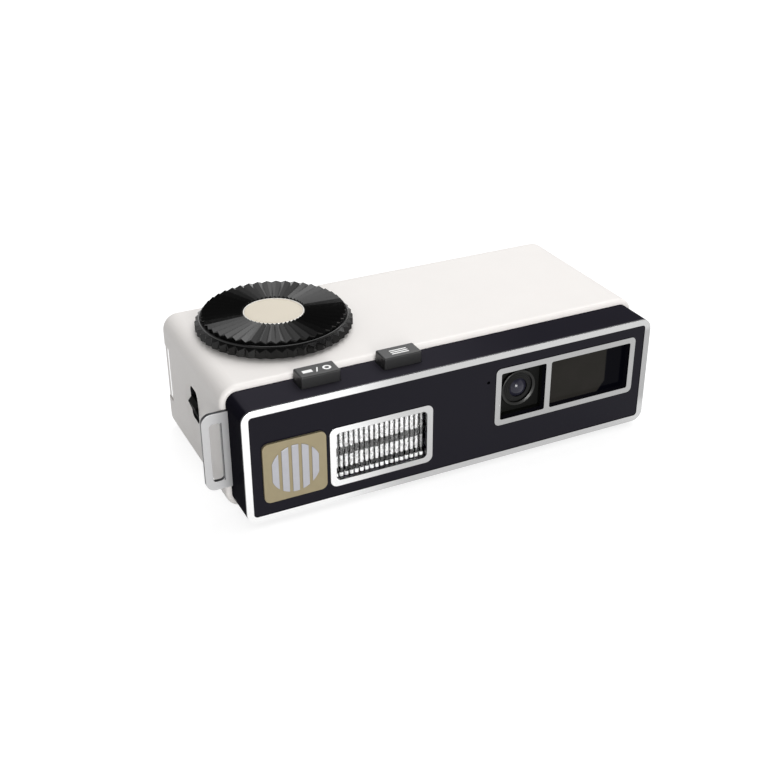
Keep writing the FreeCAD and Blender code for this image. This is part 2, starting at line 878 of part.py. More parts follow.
# Places on the dial, its board and the rear cover's screws
retainer_top = "(body_height - shell_wall - seat_gap)"
dial_board_across = around("dial_across", "dial_board_width")
dial_board_back = around("dial_back", "dial_board_depth")
dial_post_across = wider(dial_board_across, "-post_inset")
dial_post_back = wider(dial_board_back, "-post_inset")
dial_posts = [(across, back) for across in dial_post_across for back in dial_post_back]
leaf_back = "(dial_back - retainer_radius - leaf_nose - 0.05 - leaf_thickness / 2)"
leaf_end = "(dial_across - leaf_length + leaf_pillar_width / 2)"
cover_screw_places = (
    (f"({body_across[0]} + cover_screw_inset)", "cover_screw_inset"),
    (f"({body_across[0]} + cover_screw_inset)", "(body_height - cover_screw_inset)"),
    (f"({body_across[1]} - cover_screw_inset)", "(body_height - cover_screw_inset)"),
)
lug_screw_places = (
    (f"({block_across[0]} + block_boss_inset)", "lug_boss_low"),
    (f"({block_across[0]} + block_boss_inset)", "lug_boss_high"),
)
free_screw_places = (
    (f"({block_across[1]} - block_boss_inset)", "free_boss_low"),
    (f"({block_across[1]} - block_boss_inset)", "free_boss_high"),
)
block_screw_places = lug_screw_places + free_screw_places
port_pin_across = f"({body_across[0]} + cover_sink + cover_thickness / 2)"
port_pin_up = "(port_low + door_edge_gap + cover_thickness / 2)"
door_back = around("0", "pack_width + 2 * pack_gap")
door_pin_across = f"({body_across[1]} - door_sink - door_thickness / 2)"
door_pin_up = f"({tray_floor} + door_thickness / 2 + door_pin_rise)"
door_opening_up = (f"({door_pin_up} - door_thickness / 2 - door_edge_gap)",
                   f"({tray_top} + door_top_room)")


def back_cover():
    """The inset rear cover, with the screen's window, the eyepiece hole and the key holes."""
    cover = Piece("rear_cover")
    outline = cover.draw("front", rear_inside)
    outline.rectangle(wider(inside_across, "-cover_gap"), wider(inside_up, "-cover_gap"),
                      "body_corner - shell_wall - cover_gap")
    cover.pad(outline, body_rear)
    cover.soften("rear_cover_round", lying_at("y", body_rear))
    bosses = cover.draw("front", f"{rear_inside} + rear_cover_depth / 4")
    for across, up in main_board_bosses:
        bosses.circle(across, up, "boss_radius")
    cover.pad(bosses, main_board_rear)
    pilots = cover.draw("front", main_board_rear)
    for across, up in main_board_bosses:
        pilots.circle(across, up, "boss_pilot")
    cover.pocket(pilots, rear_inside)
    window = cover.draw("front", body_rear)
    window.rectangle(wider(screen_across, "panel_gap"), wider(screen_up, "panel_gap"), "screen_corner")
    cover.pocket(window, f"{body_rear} - screen_depth - panel_gap")
    holes = cover.draw("front", body_rear)
    holes.rectangle(wider(screen_across, "-screen_ledge"), wider(screen_up, "-screen_ledge"))
    holes.rectangle(wider(eyepiece_across, "-eyepiece_ledge"), wider(eyepiece_up, "-eyepiece_ledge"),
                    "eyepiece_corner")
    for across, up, radius in rear_keys.values():
        holes.circle(across, up, f"{radius} + rear_key_gap")
    for across, up in cover_screw_places:
        holes.circle(across, up, "screw_radius + screw_hole_gap")
    cover.pocket(holes, rear_inside)
    seats = cover.draw("front", rear_inside)
    seats.rectangle(wider(eyepiece_across, "panel_gap"), wider(eyepiece_up, "panel_gap"))
    cover.pocket(seats, f"{rear_inside} + eyepiece_depth")
    heads = cover.draw("front", body_rear)
    for across, up in cover_screw_places:
        heads.circle(across, up, "screw_head_radius + slip_gap")
    cover.pocket(heads, f"{body_rear} - screw_head_depth - slip_gap")
    return cover


screen_across = around("screen_centre_across", "screen_width")
screen_up = around(middle_up, "screen_height")
eyepiece_across = around(finder_across, "eyepiece_width")
eyepiece_up = around(lens_up, "eyepiece_height")
main_board_rear = "(main_board_front + board_thickness)"
rear_keys = {
    "up_button": ("rear_key_across", f"({middle_up} + rear_key_step)", "rear_key_radius"),
    "ok_button": ("rear_key_across", middle_up, "ok_key_radius"),
    "down_button": ("rear_key_across", f"({middle_up} - rear_key_step)", "rear_key_radius"),
}
main_board_bosses = (
    (f"({screen_across[0]} - display_overlap - boss_radius - seat_gap)", "(main_board_bottom + 2)"),
    (f"({screen_across[0]} - display_overlap - boss_radius - seat_gap)", "(main_board_top - 2)"),
    (f"({screen_across[1]} + display_overlap + boss_radius + seat_gap)", "(main_board_bottom + 2)"),
    (f"({screen_across[1]} + display_overlap + boss_radius + seat_gap)", "(main_board_top - 2)"),
)


def front_housing():
    """The glossy dark block on the body's front, with its bay, key holes and lug notch."""
    housing = Piece("front_block")
    outline = housing.draw("front", block_nose).rectangle(block_across, block_up, "block_corner")
    housing.pad(outline, body_front)
    bay = housing.draw("front", body_front)
    bay.rectangle(bay_across, bay_up, "block_corner - block_wall")
    housing.pocket(bay, bay_front)
    seat = housing.draw("front", block_nose)
    seat.rectangle(wider(panel_across, "panel_gap"), wider(panel_up, "panel_gap"), "rim_inner_corner")
    housing.pocket(seat, panel_rear)

    # seats of the flash lens and the window pane, and the openings through the front wall
    rebates = housing.draw("front", panel_rear)
    rebates.rectangle(wider(flash_window_across, "flash_flange + panel_gap"),
                      wider(flash_window_up, "flash_flange + panel_gap"))
    housing.pocket(rebates, f"{panel_rear} + flash_flange_depth + panel_gap")
    rebates = housing.draw("front", panel_rear)
    rebates.rectangle(wider(finder_window_across, "pane_rebate + panel_gap"),
                      wider(window_up, "pane_rebate + panel_gap"))
    housing.pocket(rebates, f"{panel_rear} + pane_depth + panel_gap")
    openings = housing.draw("front", panel_rear)
    openings.rectangle(flash_window_across, flash_window_up)
    openings.rectangle(finder_window_across, window_up)
    openings.rectangle(wider(lens_window_across, "well_wall + panel_gap"),
                       wider(window_up, "well_wall + panel_gap"))
    openings.circle("microphone_across", "microphone_up", "microphone_hole")
    housing.pocket(openings, bay_front)

    # screw bosses: the left pair stops at the strap lug, the right pair at the body
    for places, end in ((lug_screw_places, lug_front), (free_screw_places, body_front)):
        bosses = housing.draw("front", f"{bay_front} - block_front_wall / 2")
        for across, up in places:
            bosses.circle(across, up, "block_boss_radius")
        housing.pad(bosses, f"{end} - slip_gap / 2")
        pilots = housing.draw("front", end)
        for across, up in places:
            pilots.circle(across, up, "screw_radius")
        housing.pocket(pilots, f"{bay_front} + screw_radius")

    # holes for the two keys, and the notch that the strap lug passes through
    holes = housing.draw("top", block_up[1])
    for across in ("mode_key_across", "menu_key_across"):
        holes.rectangle(wider(around(across, "key_width"), "key_gap"), wider(key_back, "key_gap"),
                        "key_corner")
    housing.pocket(holes, f"{block_up[1]} - block_wall")
    notch = housing.draw("front", body_front)
    notch.rectangle((f"({block_across[0]} - overshoot)", f"({block_across[0]} + block_wall)"),
                    wider(lug_up, "slip_gap / 2"))
    housing.pocket(notch, f"{lug_front} - slip_gap / 2")
    return housing


key_rear = f"({body_front} - key_rear_inset)"
key_back = (f"({key_rear} - key_depth)", key_rear)
lug_rear = f"({body_front} - slip_gap / 2)"
lug_front = f"({lug_rear} - lug_thickness)"
lug_up = ("lug_bottom", "(lug_bottom + lug_height)")


def front_trim():
    """The silver rim and the two silver frames: thin flat bands on the front."""
    rim = Piece("front_rim")
    band = rim.draw("front", nose).rectangle(block_across, block_up, "block_corner")
    band.rectangle(wider(block_across, "-rim_band"), wider(block_up, "-rim_band"), "rim_inner_corner")
    rim.pad(band, block_nose)
    frame = Piece("flash_frame")
    band = frame.draw("front", nose).rectangle(flash_across, flash_up, "flash_corner")
    band.rectangle(flash_window_across, flash_window_up, "flash_inner_corner")
    frame.pad(band, frame_rear)
    frame = Piece("window_frame")
    band = frame.draw("front", nose).rectangle(windows_across, windows_up, "windows_corner")
    band.rectangle(lens_window_across, window_up, "windows_inner_corner")
    band.rectangle(finder_window_across, window_up, "windows_inner_corner")
    frame.pad(band, frame_rear)


def front_plate():
    """The glossy dark panel inside the rim, with sunk seats for the frames."""
    panel = Piece("front_panel")
    plate = panel.draw("front", panel_front)
    plate.rectangle(panel_across, panel_up, "rim_inner_corner")
    plate.rectangle(flash_window_across, flash_window_up, "flash_inner_corner")
    plate.rectangle(lens_window_across, window_up, "windows_inner_corner")
    plate.rectangle(finder_window_across, window_up, "windows_inner_corner")
    plate.circle("microphone_across", "microphone_up", "microphone_hole")
    panel.pad(plate, panel_rear)
    seats = panel.draw("front", panel_front)
    seats.rectangle(wider(flash_across, "panel_gap"), wider(flash_up, "panel_gap"), "flash_corner")
    seats.rectangle(wider(windows_across, "panel_gap"), wider(windows_up, "panel_gap"),
                    "windows_corner")
    panel.pocket(seats, frame_rear)


def badge():
    """A rounded square plate stuck on the panel, with a plain striped disc on it."""
    plate = Piece("badge_plate")
    face = plate.draw("front", panel_front)
    face.rectangle(around("badge_centre_across", "badge_side"), around("badge_centre_up", "badge_side"),
                   "badge_corner")
    plate.pad(face, f"{panel_front} - badge_depth")
    plate.soften("badge_depth / 3", lying_at("y", f"{panel_front} - badge_depth"))
    badge_face = f"({panel_front} - badge_depth)"
    emblem_back = (f"({badge_face} - emblem_depth)", badge_face)
    bars = []
    for number in range(-2, 3):
        across = f"(badge_centre_across + {number} * emblem_pitch)"
        disc = rod(f"emblem_disc_{number + 3}", "y", "emblem_radius", emblem_back,
                   ("badge_centre_across", "badge_centre_up"))
        stripe = block(f"emblem_stripe_{number + 3}", around(across, "emblem_bar"), emblem_back,
                       around("badge_centre_up", "2 * emblem_radius"))
        bars.append(shared(f"emblem_bar_{number + 3}", disc, stripe))
    keep(together("badge_emblem", *bars))


def flash():
    """The flash: fluted clear lens, bright trough, gas tube and the capacitor behind."""
    lens = Piece("flash_lens")
    lens_front = f"({nose} + flash_lens_sink)"
    flange_rear = f"({panel_rear} + flash_flange_depth)"
    plug_across = wider(flash_window_across, "-panel_gap")
    plug_up = wider(flash_window_up, "-panel_gap")
    plug = lens.draw("front", panel_rear).rectangle(plug_across, plug_up, "flash_inner_corner")
    lens.pad(plug, lens_front)
    flange = lens.draw("front", panel_rear)
    flange.rectangle(wider(flash_window_across, "flash_flange"), wider(flash_window_up, "flash_flange"))
    lens.pad(flange, flange_rear)
    flute_step = f"(({plug_across[1]} - {plug_across[0]}) / flute_count)"
    flute = lens.draw("top", plug_up[0])
    flute_middle = f"({plug_across[0]} + {flute_step} / 2)"
    foot = around(flute_middle, f"{flute_step} * flute_foot_share")
    tip = around(flute_middle, f"{flute_step} * flute_tip_share")
    flute.outline((foot[0], flange_rear), (foot[1], flange_rear),
                  (tip[1], f"{flange_rear} + flute_height"), (tip[0], f"{flange_rear} + flute_height"))
    ridge = lens.pad(flute, plug_up[1])
    lens.row(ridge, "x", f"{flute_step} * (flute_count - 1)", "flute_count")

    mouth = f"({bay_front} + panel_gap)"
    outer = f"(({flash_window_up[1]} - {flash_window_up[0]}) / 2)"
    ends = wider(flash_window_across, "reflector_skin / 2")
    trough = rod("trough_outside", "x", outer, ends, (mouth, "flash_centre_up"))
    hollow = rod("trough_inside", "x", f"{outer} - reflector_skin", wider(ends, "-reflector_skin"),
                 (mouth, "flash_centre_up"))
    front_half = block("trough_front_half", wider(ends, "overshoot"),
                       (f"{mouth} - 2 * {outer}", mouth), wider(flash_window_up, "overshoot"))
    tube_back = f"({mouth} + {outer} / 2)"
    lead_holes = rod("trough_lead_holes", "x", "tube_radius / 2 + slip_gap", wider(ends, "overshoot"),
                     (tube_back, "flash_centre_up"))
    keep(carved("flash_reflector", trough, hollow, front_half, lead_holes))
    glass = rod("tube_glass", "x", "tube_radius", around("flash_centre_across", "tube_length"),
                (tube_back, "flash_centre_up"))
    leads = rod("tube_leads", "x", "tube_radius / 2", wider(ends, "tube_lead"),
                (tube_back, "flash_centre_up"))
    keep(joined("flash_tube", glass, leads))
    can = rod("flash_capacitor", "x", "capacitor_radius",
              ("capacitor_end", "(capacitor_end + capacitor_length)"),
              ("capacitor_across_depth", "shell_wall + seat_gap + capacitor_radius"))
    keep(can)


def lens():
    """The black well behind the left window, the lens barrel, its glass, holder and sensor."""
    well = Piece("lens_well", at=(lens_across, "0", lens_up))
    well_back = f"({nose} + well_depth)"
    opening = around("0", "lens_window_width")
    plate = well.draw("front", well_back)
    plate.rectangle(wider(opening, "well_flange"), wider(opening, "well_flange"))
    well.pad(plate, f"{well_back} + well_plate")
    walls = well.draw("front", well_back)
    walls.rectangle(wider(opening, "well_wall"), wider(opening, "well_wall"))
    walls.rectangle(opening, opening)
    well.pad(walls, f"{panel_rear} + panel_gap")
    bore = well.draw("front", well_back).circle("0", "0", "barrel_radius + thread_gap")
    well.pocket(bore, f"{well_back} + well_plate")

    tip = f"({well_back} - barrel_stand)"
    cone_end = f"({tip} + barrel_cone_depth)"
    seat = f"({cone_end} + element_seat)"
    end = f"({tip} + barrel_length)"
    rear_seat = f"({end} - rear_element_depth - element_room)"
    barrel = Piece("lens_barrel", at=(lens_across, "0", lens_up))
    wall = barrel.draw("top").outline(
        ("barrel_radius", tip), ("barrel_radius", end), ("rear_element_radius", end),
        ("rear_element_radius", rear_seat), ("glass_radius", rear_seat),
        ("glass_radius", f"{seat} + element_depth + element_room"),
        ("element_radius", f"{seat} + element_depth + element_room"), ("element_radius", seat),
        ("glass_radius", seat), ("glass_radius", cone_end), ("barrel_radius - barrel_rim", tip))
    barrel.turn(wall)

    front_glass = shared(
        "front_glass",
        rod("front_glass_edge", "y", "element_radius - panel_gap",
            (f"{seat} + panel_gap", f"{seat} + panel_gap + element_depth"), (lens_across, lens_up)),
        ball("front_glass_dome", "element_dome",
             (lens_across, f"{seat} + panel_gap + element_dome", lens_up)))
    rear_glass = shared(
        "rear_glass",
        rod("rear_glass_edge", "y", "rear_element_radius - panel_gap",
            (f"{rear_seat} + panel_gap", f"{rear_seat} + panel_gap + rear_element_depth"),
            (lens_across, lens_up)),
        ball("rear_glass_dome", "element_dome",
             (lens_across, f"{rear_seat} + panel_gap + rear_element_depth - element_dome", lens_up)))
    keep(together("lens_elements", front_glass, rear_glass))

    base_front = f"({end} + holder_back_room)"
    holder_rear = f"({base_front} + holder_base)"
    holder = Piece("lens_holder", at=(lens_across, "0", lens_up))
    side = around("0", "holder_side")
    holder.pad(holder.draw("front", base_front).rectangle(side, side), holder_rear)
    sleeve = holder.draw("front", base_front).circle("0", "0", "holder_sleeve_radius")
    holder.pad(sleeve, f"{base_front} - holder_sleeve_length")
    bore = holder.draw("front", f"{base_front} - holder_sleeve_length")
    holder.pocket(bore.circle("0", "0", "barrel_radius + thread_gap"), holder_rear)
    cavity = around("0", "holder_cavity")
    room = holder.draw("front", holder_rear).rectangle(cavity, cavity)
    holder.pocket(room, f"{holder_rear} - sensor_depth - seat_gap")

    keep(block("sensor_chip", around(lens_across, "sensor_side"),
               (f"({holder_rear} - sensor_depth)", holder_rear), around(lens_up, "sensor_height")))
    sensor_board_up = (f"({tray_top} + seat_gap)", f"({tray_top} + seat_gap + sensor_board_side)")
    keep(block("sensor_board", around(lens_across, "sensor_board_side"),
               (holder_rear, f"({holder_rear} + board_thickness)"), sensor_board_up))


def viewfinder():
    """The right window's dark pane, the tapered tunnel behind it and its two lenses."""
    pane = Piece("viewfinder_window")
    glass = pane.draw("front", panel_rear)
    glass.rectangle(wider(finder_window_across, "pane_rebate"), wider(window_up, "pane_rebate"))
    pane.pad(glass, f"{panel_rear} + pane_depth")

    tunnel = Piece("viewfinder_tunnel", at=(finder_across, "0", lens_up))
    mouth = f"({bay_front} + panel_gap)"
    far = f"({rear_inside} - seat_gap)"
    mouth_across = around("0", "finder_window_width")
    mouth_up = around("0", "windows_height - 2 * frame_band")
    far_across = around("0", "tunnel_rear_width")
    far_up = around("0", "tunnel_rear_height")
    outside = tunnel.draw("front", mouth).rectangle(
        wider(mouth_across, "tunnel_wall"), wider(mouth_up, "tunnel_wall"))
    outside_far = tunnel.draw("front", far).rectangle(far_across, far_up)
    tunnel.loft(outside, outside_far)
    inside = tunnel.draw("front", mouth).rectangle(mouth_across, mouth_up)
    inside_far = tunnel.draw("front", far).rectangle(
        wider(far_across, "-tunnel_wall"), wider(far_up, "-tunnel_wall"))
    tunnel.loft(inside, inside_far, cutting=True)
    step = tunnel.draw("front", f"{mouth} + objective_sink + objective_depth")
    step.rectangle(wider(mouth_across, "tunnel_wall / 4"), wider(mouth_up, "tunnel_wall / 4"))
    step.rectangle(around("0", "objective_width - 2 * objective_ledge"),
                   around("0", "objective_height - 2 * objective_ledge"), "objective_corner")
    tunnel.pad(step, f"{mouth} + objective_sink + objective_depth + tunnel_wall")

    objective = Piece("viewfinder_objective", at=(finder_across, "0", lens_up))
    rear = f"({mouth} + objective_sink + objective_depth)"
    body = objective.draw("front", rear)
    body.rectangle(around("0", "objective_width"), around("0", "objective_height"), "objective_corner")
    objective.pad(body, f"{rear} - objective_depth")
    objective.hollow("Sphere", ("0", f"({rear} - objective_depth / 2 - objective_width)", "0"),
                     Radius="objective_width")

    eyepiece = Piece("viewfinder_eyepiece")
    glass = eyepiece.draw("front", rear_inside)
    glass.rectangle(eyepiece_across, eyepiece_up)
    eyepiece.pad(glass, f"{rear_inside} + eyepiece_depth - panel_gap")


def microphone():
    """The microphone capsule behind its pin hole."""
    keep(rod("microphone", "y", "microphone_radius",
             (f"({bay_front} + panel_gap)", f"({bay_front} + panel_gap + microphone_depth)"),
             ("microphone_across", "microphone_up")))


# Levels of the two front keys and their small board
key_board_top = f"({block_up[1]} - key_board_drop)"
key_flange_top = f"({block_up[1]} - block_wall - seat_gap)"
key_stem_end = f"({key_board_top} + tact_depth + tact_plunger_height + key_travel + slip_gap)"


def front_keys():
    """The two flat keys on the block's top, and the board with their switches."""
    for name, across in (("mode_button", "mode_key_across"), ("menu_button", "menu_key_across")):
        key = Piece(name, at=(across, "0", "0"))
        cap = key.draw("top", key_flange_top)
        cap.rectangle(around("0", "key_width"), key_back, "key_corner")
        key.pad(cap, key_top)
        key.soften("key_corner", lying_at("z", key_top))
        flange = key.draw("top", key_flange_top)
        flange.rectangle(wider(around("0", "key_width"), "key_flange"),
                         (f"({key_back[0]} - key_flange / 2)", f"({key_back[1]} + slip_gap)"))
        key.pad(flange, f"{key_flange_top} - key_flange_depth")
        stem = key.draw("top", f"{key_flange_top} - key_flange_depth")
        stem.circle("0", key_middle, "key_stem / 2")
        key.pad(stem, key_stem_end)
    board_across = (f"(mode_key_across - key_width / 2)", f"(menu_key_across + key_width / 2)")
    keep(block("front_key_board", board_across,
               (f"({bay_front} + seat_gap)", f"({body_front} - seat_gap)"),
               (f"({key_board_top} - board_thickness)", key_board_top)))


key_middle = f"(({key_back[0]} + {key_back[1]}) / 2)"


def switches():
    """Small push switches under the keys and under the shutter button, all alike."""
    group = []
    uprights = (
        ("mode", "mode_key_across", key_middle, key_board_top),
        ("menu", "menu_key_across", key_middle, key_board_top),
        ("shutter", "dial_across", "dial_back", dial_board_top),
    )
    for name, across, back, level in uprights:
        case = block(f"{name}_switch_case", around(across, "tact_side"), around(back, "tact_side"),
                     (level, f"({level} + tact_depth)"))
        plunger = rod(f"{name}_switch_plunger", "z", "tact_plunger",
                      (level, f"({level} + tact_depth + tact_plunger_height)"), (across, back))
        group.append(joined(f"{name}_switch", case, plunger))
    for name, (across, up, radius) in rear_keys.items():
        level = main_board_rear
        case = block(f"{name}_switch_case", around(across, "tact_side"),
                     (level, f"({level} + tact_depth)"), around(up, "tact_side"))
        plunger = rod(f"{name}_switch_plunger", "y", "tact_plunger",
                      (level, f"({level} + tact_depth + tact_plunger_height)"), (across, up))
        group.append(joined(f"{name}_switch", case, plunger))
    keep(together("tact_switches", *group))


def dial():
    """The pleated wheel with its toothed edge, its retaining ring and its detent leaf."""
    hub_bottom = f"({retainer_top} - hub_tail)"
    wheel = Piece("dial_wheel", at=("dial_across", "dial_back", "0"))
    wall = wheel.draw("front").outline(
        ("hub_bore_radius", hub_bottom), ("hub_lower_radius", hub_bottom),
        ("hub_lower_radius", retainer_top), ("hub_radius", retainer_top), ("hub_radius", dial_foot),
        ("dial_tip_radius", dial_foot), ("dial_tip_radius", knurl_top), (lip_radius, knurl_top),
        (lip_radius, lip_top), (pleat_outer_radius, lip_top),
        (pleat_outer_radius, pleat_top), ("cap_recess_radius", pleat_top),
        ("cap_recess_radius", dial_recess), ("hub_bore_radius", dial_recess))
    wheel.turn(wall)

    # one V cut in the edge, and one pleat that deepens outwards, each repeated round the wheel
    half_step = "(180 / dial_tooth_count)"
    gap_half = f"(dial_tip_radius * sin({half_step}) - dial_tooth_flat / 2)"
    edge_share = "(1 + overshoot / dial_tooth_depth)"
    edge = wheel.draw("top", dial_foot)
    edge.outline((valley_radius, "0"),
                 ("dial_tip_radius + overshoot", f"-{gap_half} * {edge_share}"),
                 ("dial_tip_radius + overshoot", f"{gap_half} * {edge_share}"))
    tooth = wheel.pocket(edge, knurl_top)
    wheel.ring(tooth, "z", "dial_tooth_count")
    inner_share = f"(pleat_inner_radius / {pleat_outer_radius})"
    pleat_half = f"({pleat_outer_radius} * tan({half_step}))"
    outer = wheel.draw("side", pleat_outer_radius)
    outer.outline(("0", f"{pleat_top} - pleat_outer_drop"), (pleat_half, pleat_top),
                  (f"-{pleat_half}", pleat_top))
    inner = wheel.draw("side", "pleat_inner_radius")
    inner.outline(("0", f"{pleat_top} - pleat_outer_drop * {inner_share}"),
                  (f"{pleat_half} * {inner_share}", pleat_top),
                  (f"-{pleat_half} * {inner_share}", pleat_top))
    pleat = wheel.loft(outer, inner, cutting=True)
    wheel.ring(pleat, "z", "dial_tooth_count")

    ring = Piece("dial_retainer", at=("dial_across", "dial_back", "0"))
    washer = ring.draw("top", retainer_top).circle("0", "0", "retainer_radius")
    washer.circle("0", "0", "hub_lower_radius + panel_gap")
    ring.pad(washer, f"{retainer_top} - retainer_depth")
    notch = ring.draw("top", retainer_top).circle("0", "-retainer_radius", "retainer_notch")
    cut = ring.pocket(notch, f"{retainer_top} - retainer_depth")
    ring.ring(cut, "z", "retainer_notch_count")

    leaf_up = (f"({retainer_top} - retainer_depth)", retainer_top)
    arm_across = (f"({leaf_end} + leaf_pillar_width / 2 + panel_gap)", "(dial_across + leaf_nose)")
    arm = block("leaf_arm", arm_across, around(leaf_back, "leaf_thickness"), leaf_up)
    nose_rod = rod("leaf_nose", "z", "leaf_nose", leaf_up,
                   ("dial_across", f"{leaf_back} + leaf_thickness / 2"))
    keep(joined("detent_spring", arm, nose_rod))
    board = block("dial_board_plate", dial_board_across, dial_board_back,
                  (f"({dial_board_top} - board_thickness)", dial_board_top))
    holes = [rod(f"dial_board_hole_{number}", "z", "post_pilot + slip_gap",
                 (f"({dial_board_top} - board_thickness - overshoot)", f"({dial_board_top} + overshoot)"),
                 place)
             for number, place in enumerate(dial_posts, start=1)]
    keep(carved("dial_board", board, *holes))


def shutter():
    """The round shutter button in the dial's middle, its guide and its coil spring."""
    cap_bottom = f"({cap_top} - cap_thickness)"
    stem_end = f"({dial_board_top} + tact_depth + tact_plunger_height + shutter_travel + slip_gap)"
    button = Piece("shutter_button", at=("dial_across", "dial_back", "0"))
    wall = button.draw("front").outline(
        ("0", stem_end), ("shutter_stem_radius", stem_end), ("shutter_stem_radius", cap_bottom),
        ("cap_radius", cap_bottom), ("cap_radius", cap_top),
        ("cap_radius - cap_rim", cap_top), ("cap_radius - cap_rim", f"{cap_top} - inlay_depth"),
        ("0", f"{cap_top} - inlay_depth"))
    button.turn(wall)
    keep(rod("shutter_inlay", "z", "cap_radius - cap_rim - panel_gap",
             (f"({cap_top} - inlay_depth)", f"({cap_top} - inlay_depth / 4)"), ("dial_across", "dial_back")))

    guide_foot = f"({dial_board_top} + panel_gap)"
    guide = Piece("shutter_guide", at=("dial_across", "dial_back", "0"))
    stem_bore = "shutter_stem_radius + guide_stem_gap"
    switch_room = "(tact_side * 0.8)"
    wall = guide.draw("front").outline(
        (switch_room, guide_foot), ("guide_base_radius", guide_foot),
        ("guide_base_radius", f"{guide_foot} + guide_base_depth"),
        ("guide_radius", f"{guide_foot} + guide_base_depth"), ("guide_radius", guide_top),
        ("guide_bore_radius", guide_top), ("guide_bore_radius", guide_shoulder),
        (stem_bore, guide_shoulder), (stem_bore, f"{guide_shoulder} - guide_floor"),
        (switch_room, f"{guide_shoulder} - guide_floor"))
    guide.turn(wall)
    keep(coil_spring())


def coil_spring():
    """The shutter's coil spring: one wire of quarter-turn arcs, at its rest length."""
    turns = int(worth("coil_turns"))
    radius = worth("coil_radius")
    wire = worth("coil_wire")
    low = worth(f"{guide_shoulder} + slip_gap / 2 + coil_wire")
    high = worth(f"{cap_top} - cap_thickness - slip_gap / 2 - coil_wire")
    quarters = 4 * turns

    def place(step):
        angle = math.pi / 2 * step
        level = low + (high - low) * step / quarters
        return Vector(radius * math.cos(angle), radius * math.sin(angle), level)

    arcs = [Part.Arc(place(step), place(step + 0.5), place(step + 1)).toShape()
            for step in range(quarters)]
    path = Part.Wire(arcs)
    start = place(0)
    heading = arcs[0].tangentAt(arcs[0].FirstParameter)
    section = Part.Wire(Part.makeCircle(wire, start, heading))
    spring = doc.addObject("Part::Feature", "shutter_spring")
    spring.Shape = path.makePipeShell([section], True, False)
    spring.Placement = FreeCAD.Placement(Vector(worth("dial_across"), worth("dial_back"), 0),
                                         FreeCAD.Rotation())
    print("coil spring: gap between turns", round((high - low) / turns - 2 * wire, 3), "mm")
    return spring


def strap_lug():
    """The flat plated loop at the left, clamped between the block and the body."""
    lug = Piece("strap_lug")
    outer_edge = f"({body_across[0]} - lug_reach)"
    plate = lug.draw("front", lug_front)
    plate.rectangle((outer_edge, f"({block_across[0]} + lug_root)"), lug_up, "lug_corner")
    plate.rectangle((f"({outer_edge} + lug_slot_edge)",
                     f"({outer_edge} + lug_slot_edge + lug_slot_width)"),
                    ("lug_slot_bottom", "(lug_slot_bottom + lug_slot_height)"), "lug_slot_corner")
    for across, up in lug_screw_places:
        plate.circle(across, up, "screw_radius + screw_hole_gap")
    lug.pad(plate, lug_rear)
    lug.soften("lug_thickness / 5", lying_at("y", lug_front))


def power_slider():
    """The ribbed power slider in the thumb scoop, and the switch that it moves."""
    pad_face = f"({left_wall} + pad_depth)"
    plate_back = around("slider_back", "slider_plate_width")
    slider = Piece("power_slider")
    plate = slider.draw("side", f"{pad_face} + slip_gap")
    plate.rectangle(plate_back, around("slider_rest_up", "slider_plate_height"))
    slider.pad(plate, f"{pad_face} + slip_gap + slider_plate")
    knob_back = around("slider_back", "knob_width")
    root, shoulder = f"({pad_face} + slip_gap)", f"({body_across[0]} + knob_shoulder)"
    crest = f"({body_across[0]} - knob_proud)"
    rib_count = 4
    ribs = []
    for number in range(rib_count):
        for share, sunk in ((number / rib_count, 0), ((number + 0.5) / rib_count, 1)):
            ribs.append((f"({shoulder} + ({crest} - {shoulder}) * {share} + knob_groove * {sunk})",
                         f"(knob_low + (knob_crest_low - knob_low) * {share})"))
    knob = slider.draw("front", knob_back[0])
    knob.outline((root, "knob_low"), *ribs, (crest, "knob_crest_low"), (crest, "knob_crest_high"),
                 (shoulder, "knob_high"), (root, "knob_high"))
    slider.pad(knob, knob_back[1])
    prong = slider.draw("side", f"{pad_face} + slip_gap + slider_plate")
    prong.rectangle(around("slider_back", "slider_prong"), around("slider_rest_up", "slider_prong"))
    slider.pad(prong, f"{pad_face} + slip_gap + slider_plate + slider_prong_reach")

    case_face = f"({pad_face} + 2 * slip_gap + slider_plate)"
    case_up = around("(slot_low + slot_high) / 2", "switch_height")
    case = block("power_switch_case", (f"({pad_face} + panel_gap)", f"({case_face} + switch_depth)"),
                 around("slider_back", "switch_width"), case_up)
    channel = block("power_switch_channel", (f"({pad_face} - overshoot)", case_face),
                    wider(plate_back, "slip_gap"), wider(case_up, "overshoot"))
    track = block("power_switch_track",
                  (pad_face, f"({case_face} + slider_prong_reach + slip_gap)"),
                  around("slider_back", "slider_prong + 4 * slip_gap"),
                  ("(slider_rest_up - slider_prong / 2 - seat_gap)",
                   "(slider_rest_up + slider_travel + slider_prong / 2 + seat_gap)"))
    keep(carved("power_switch", case, channel, track))


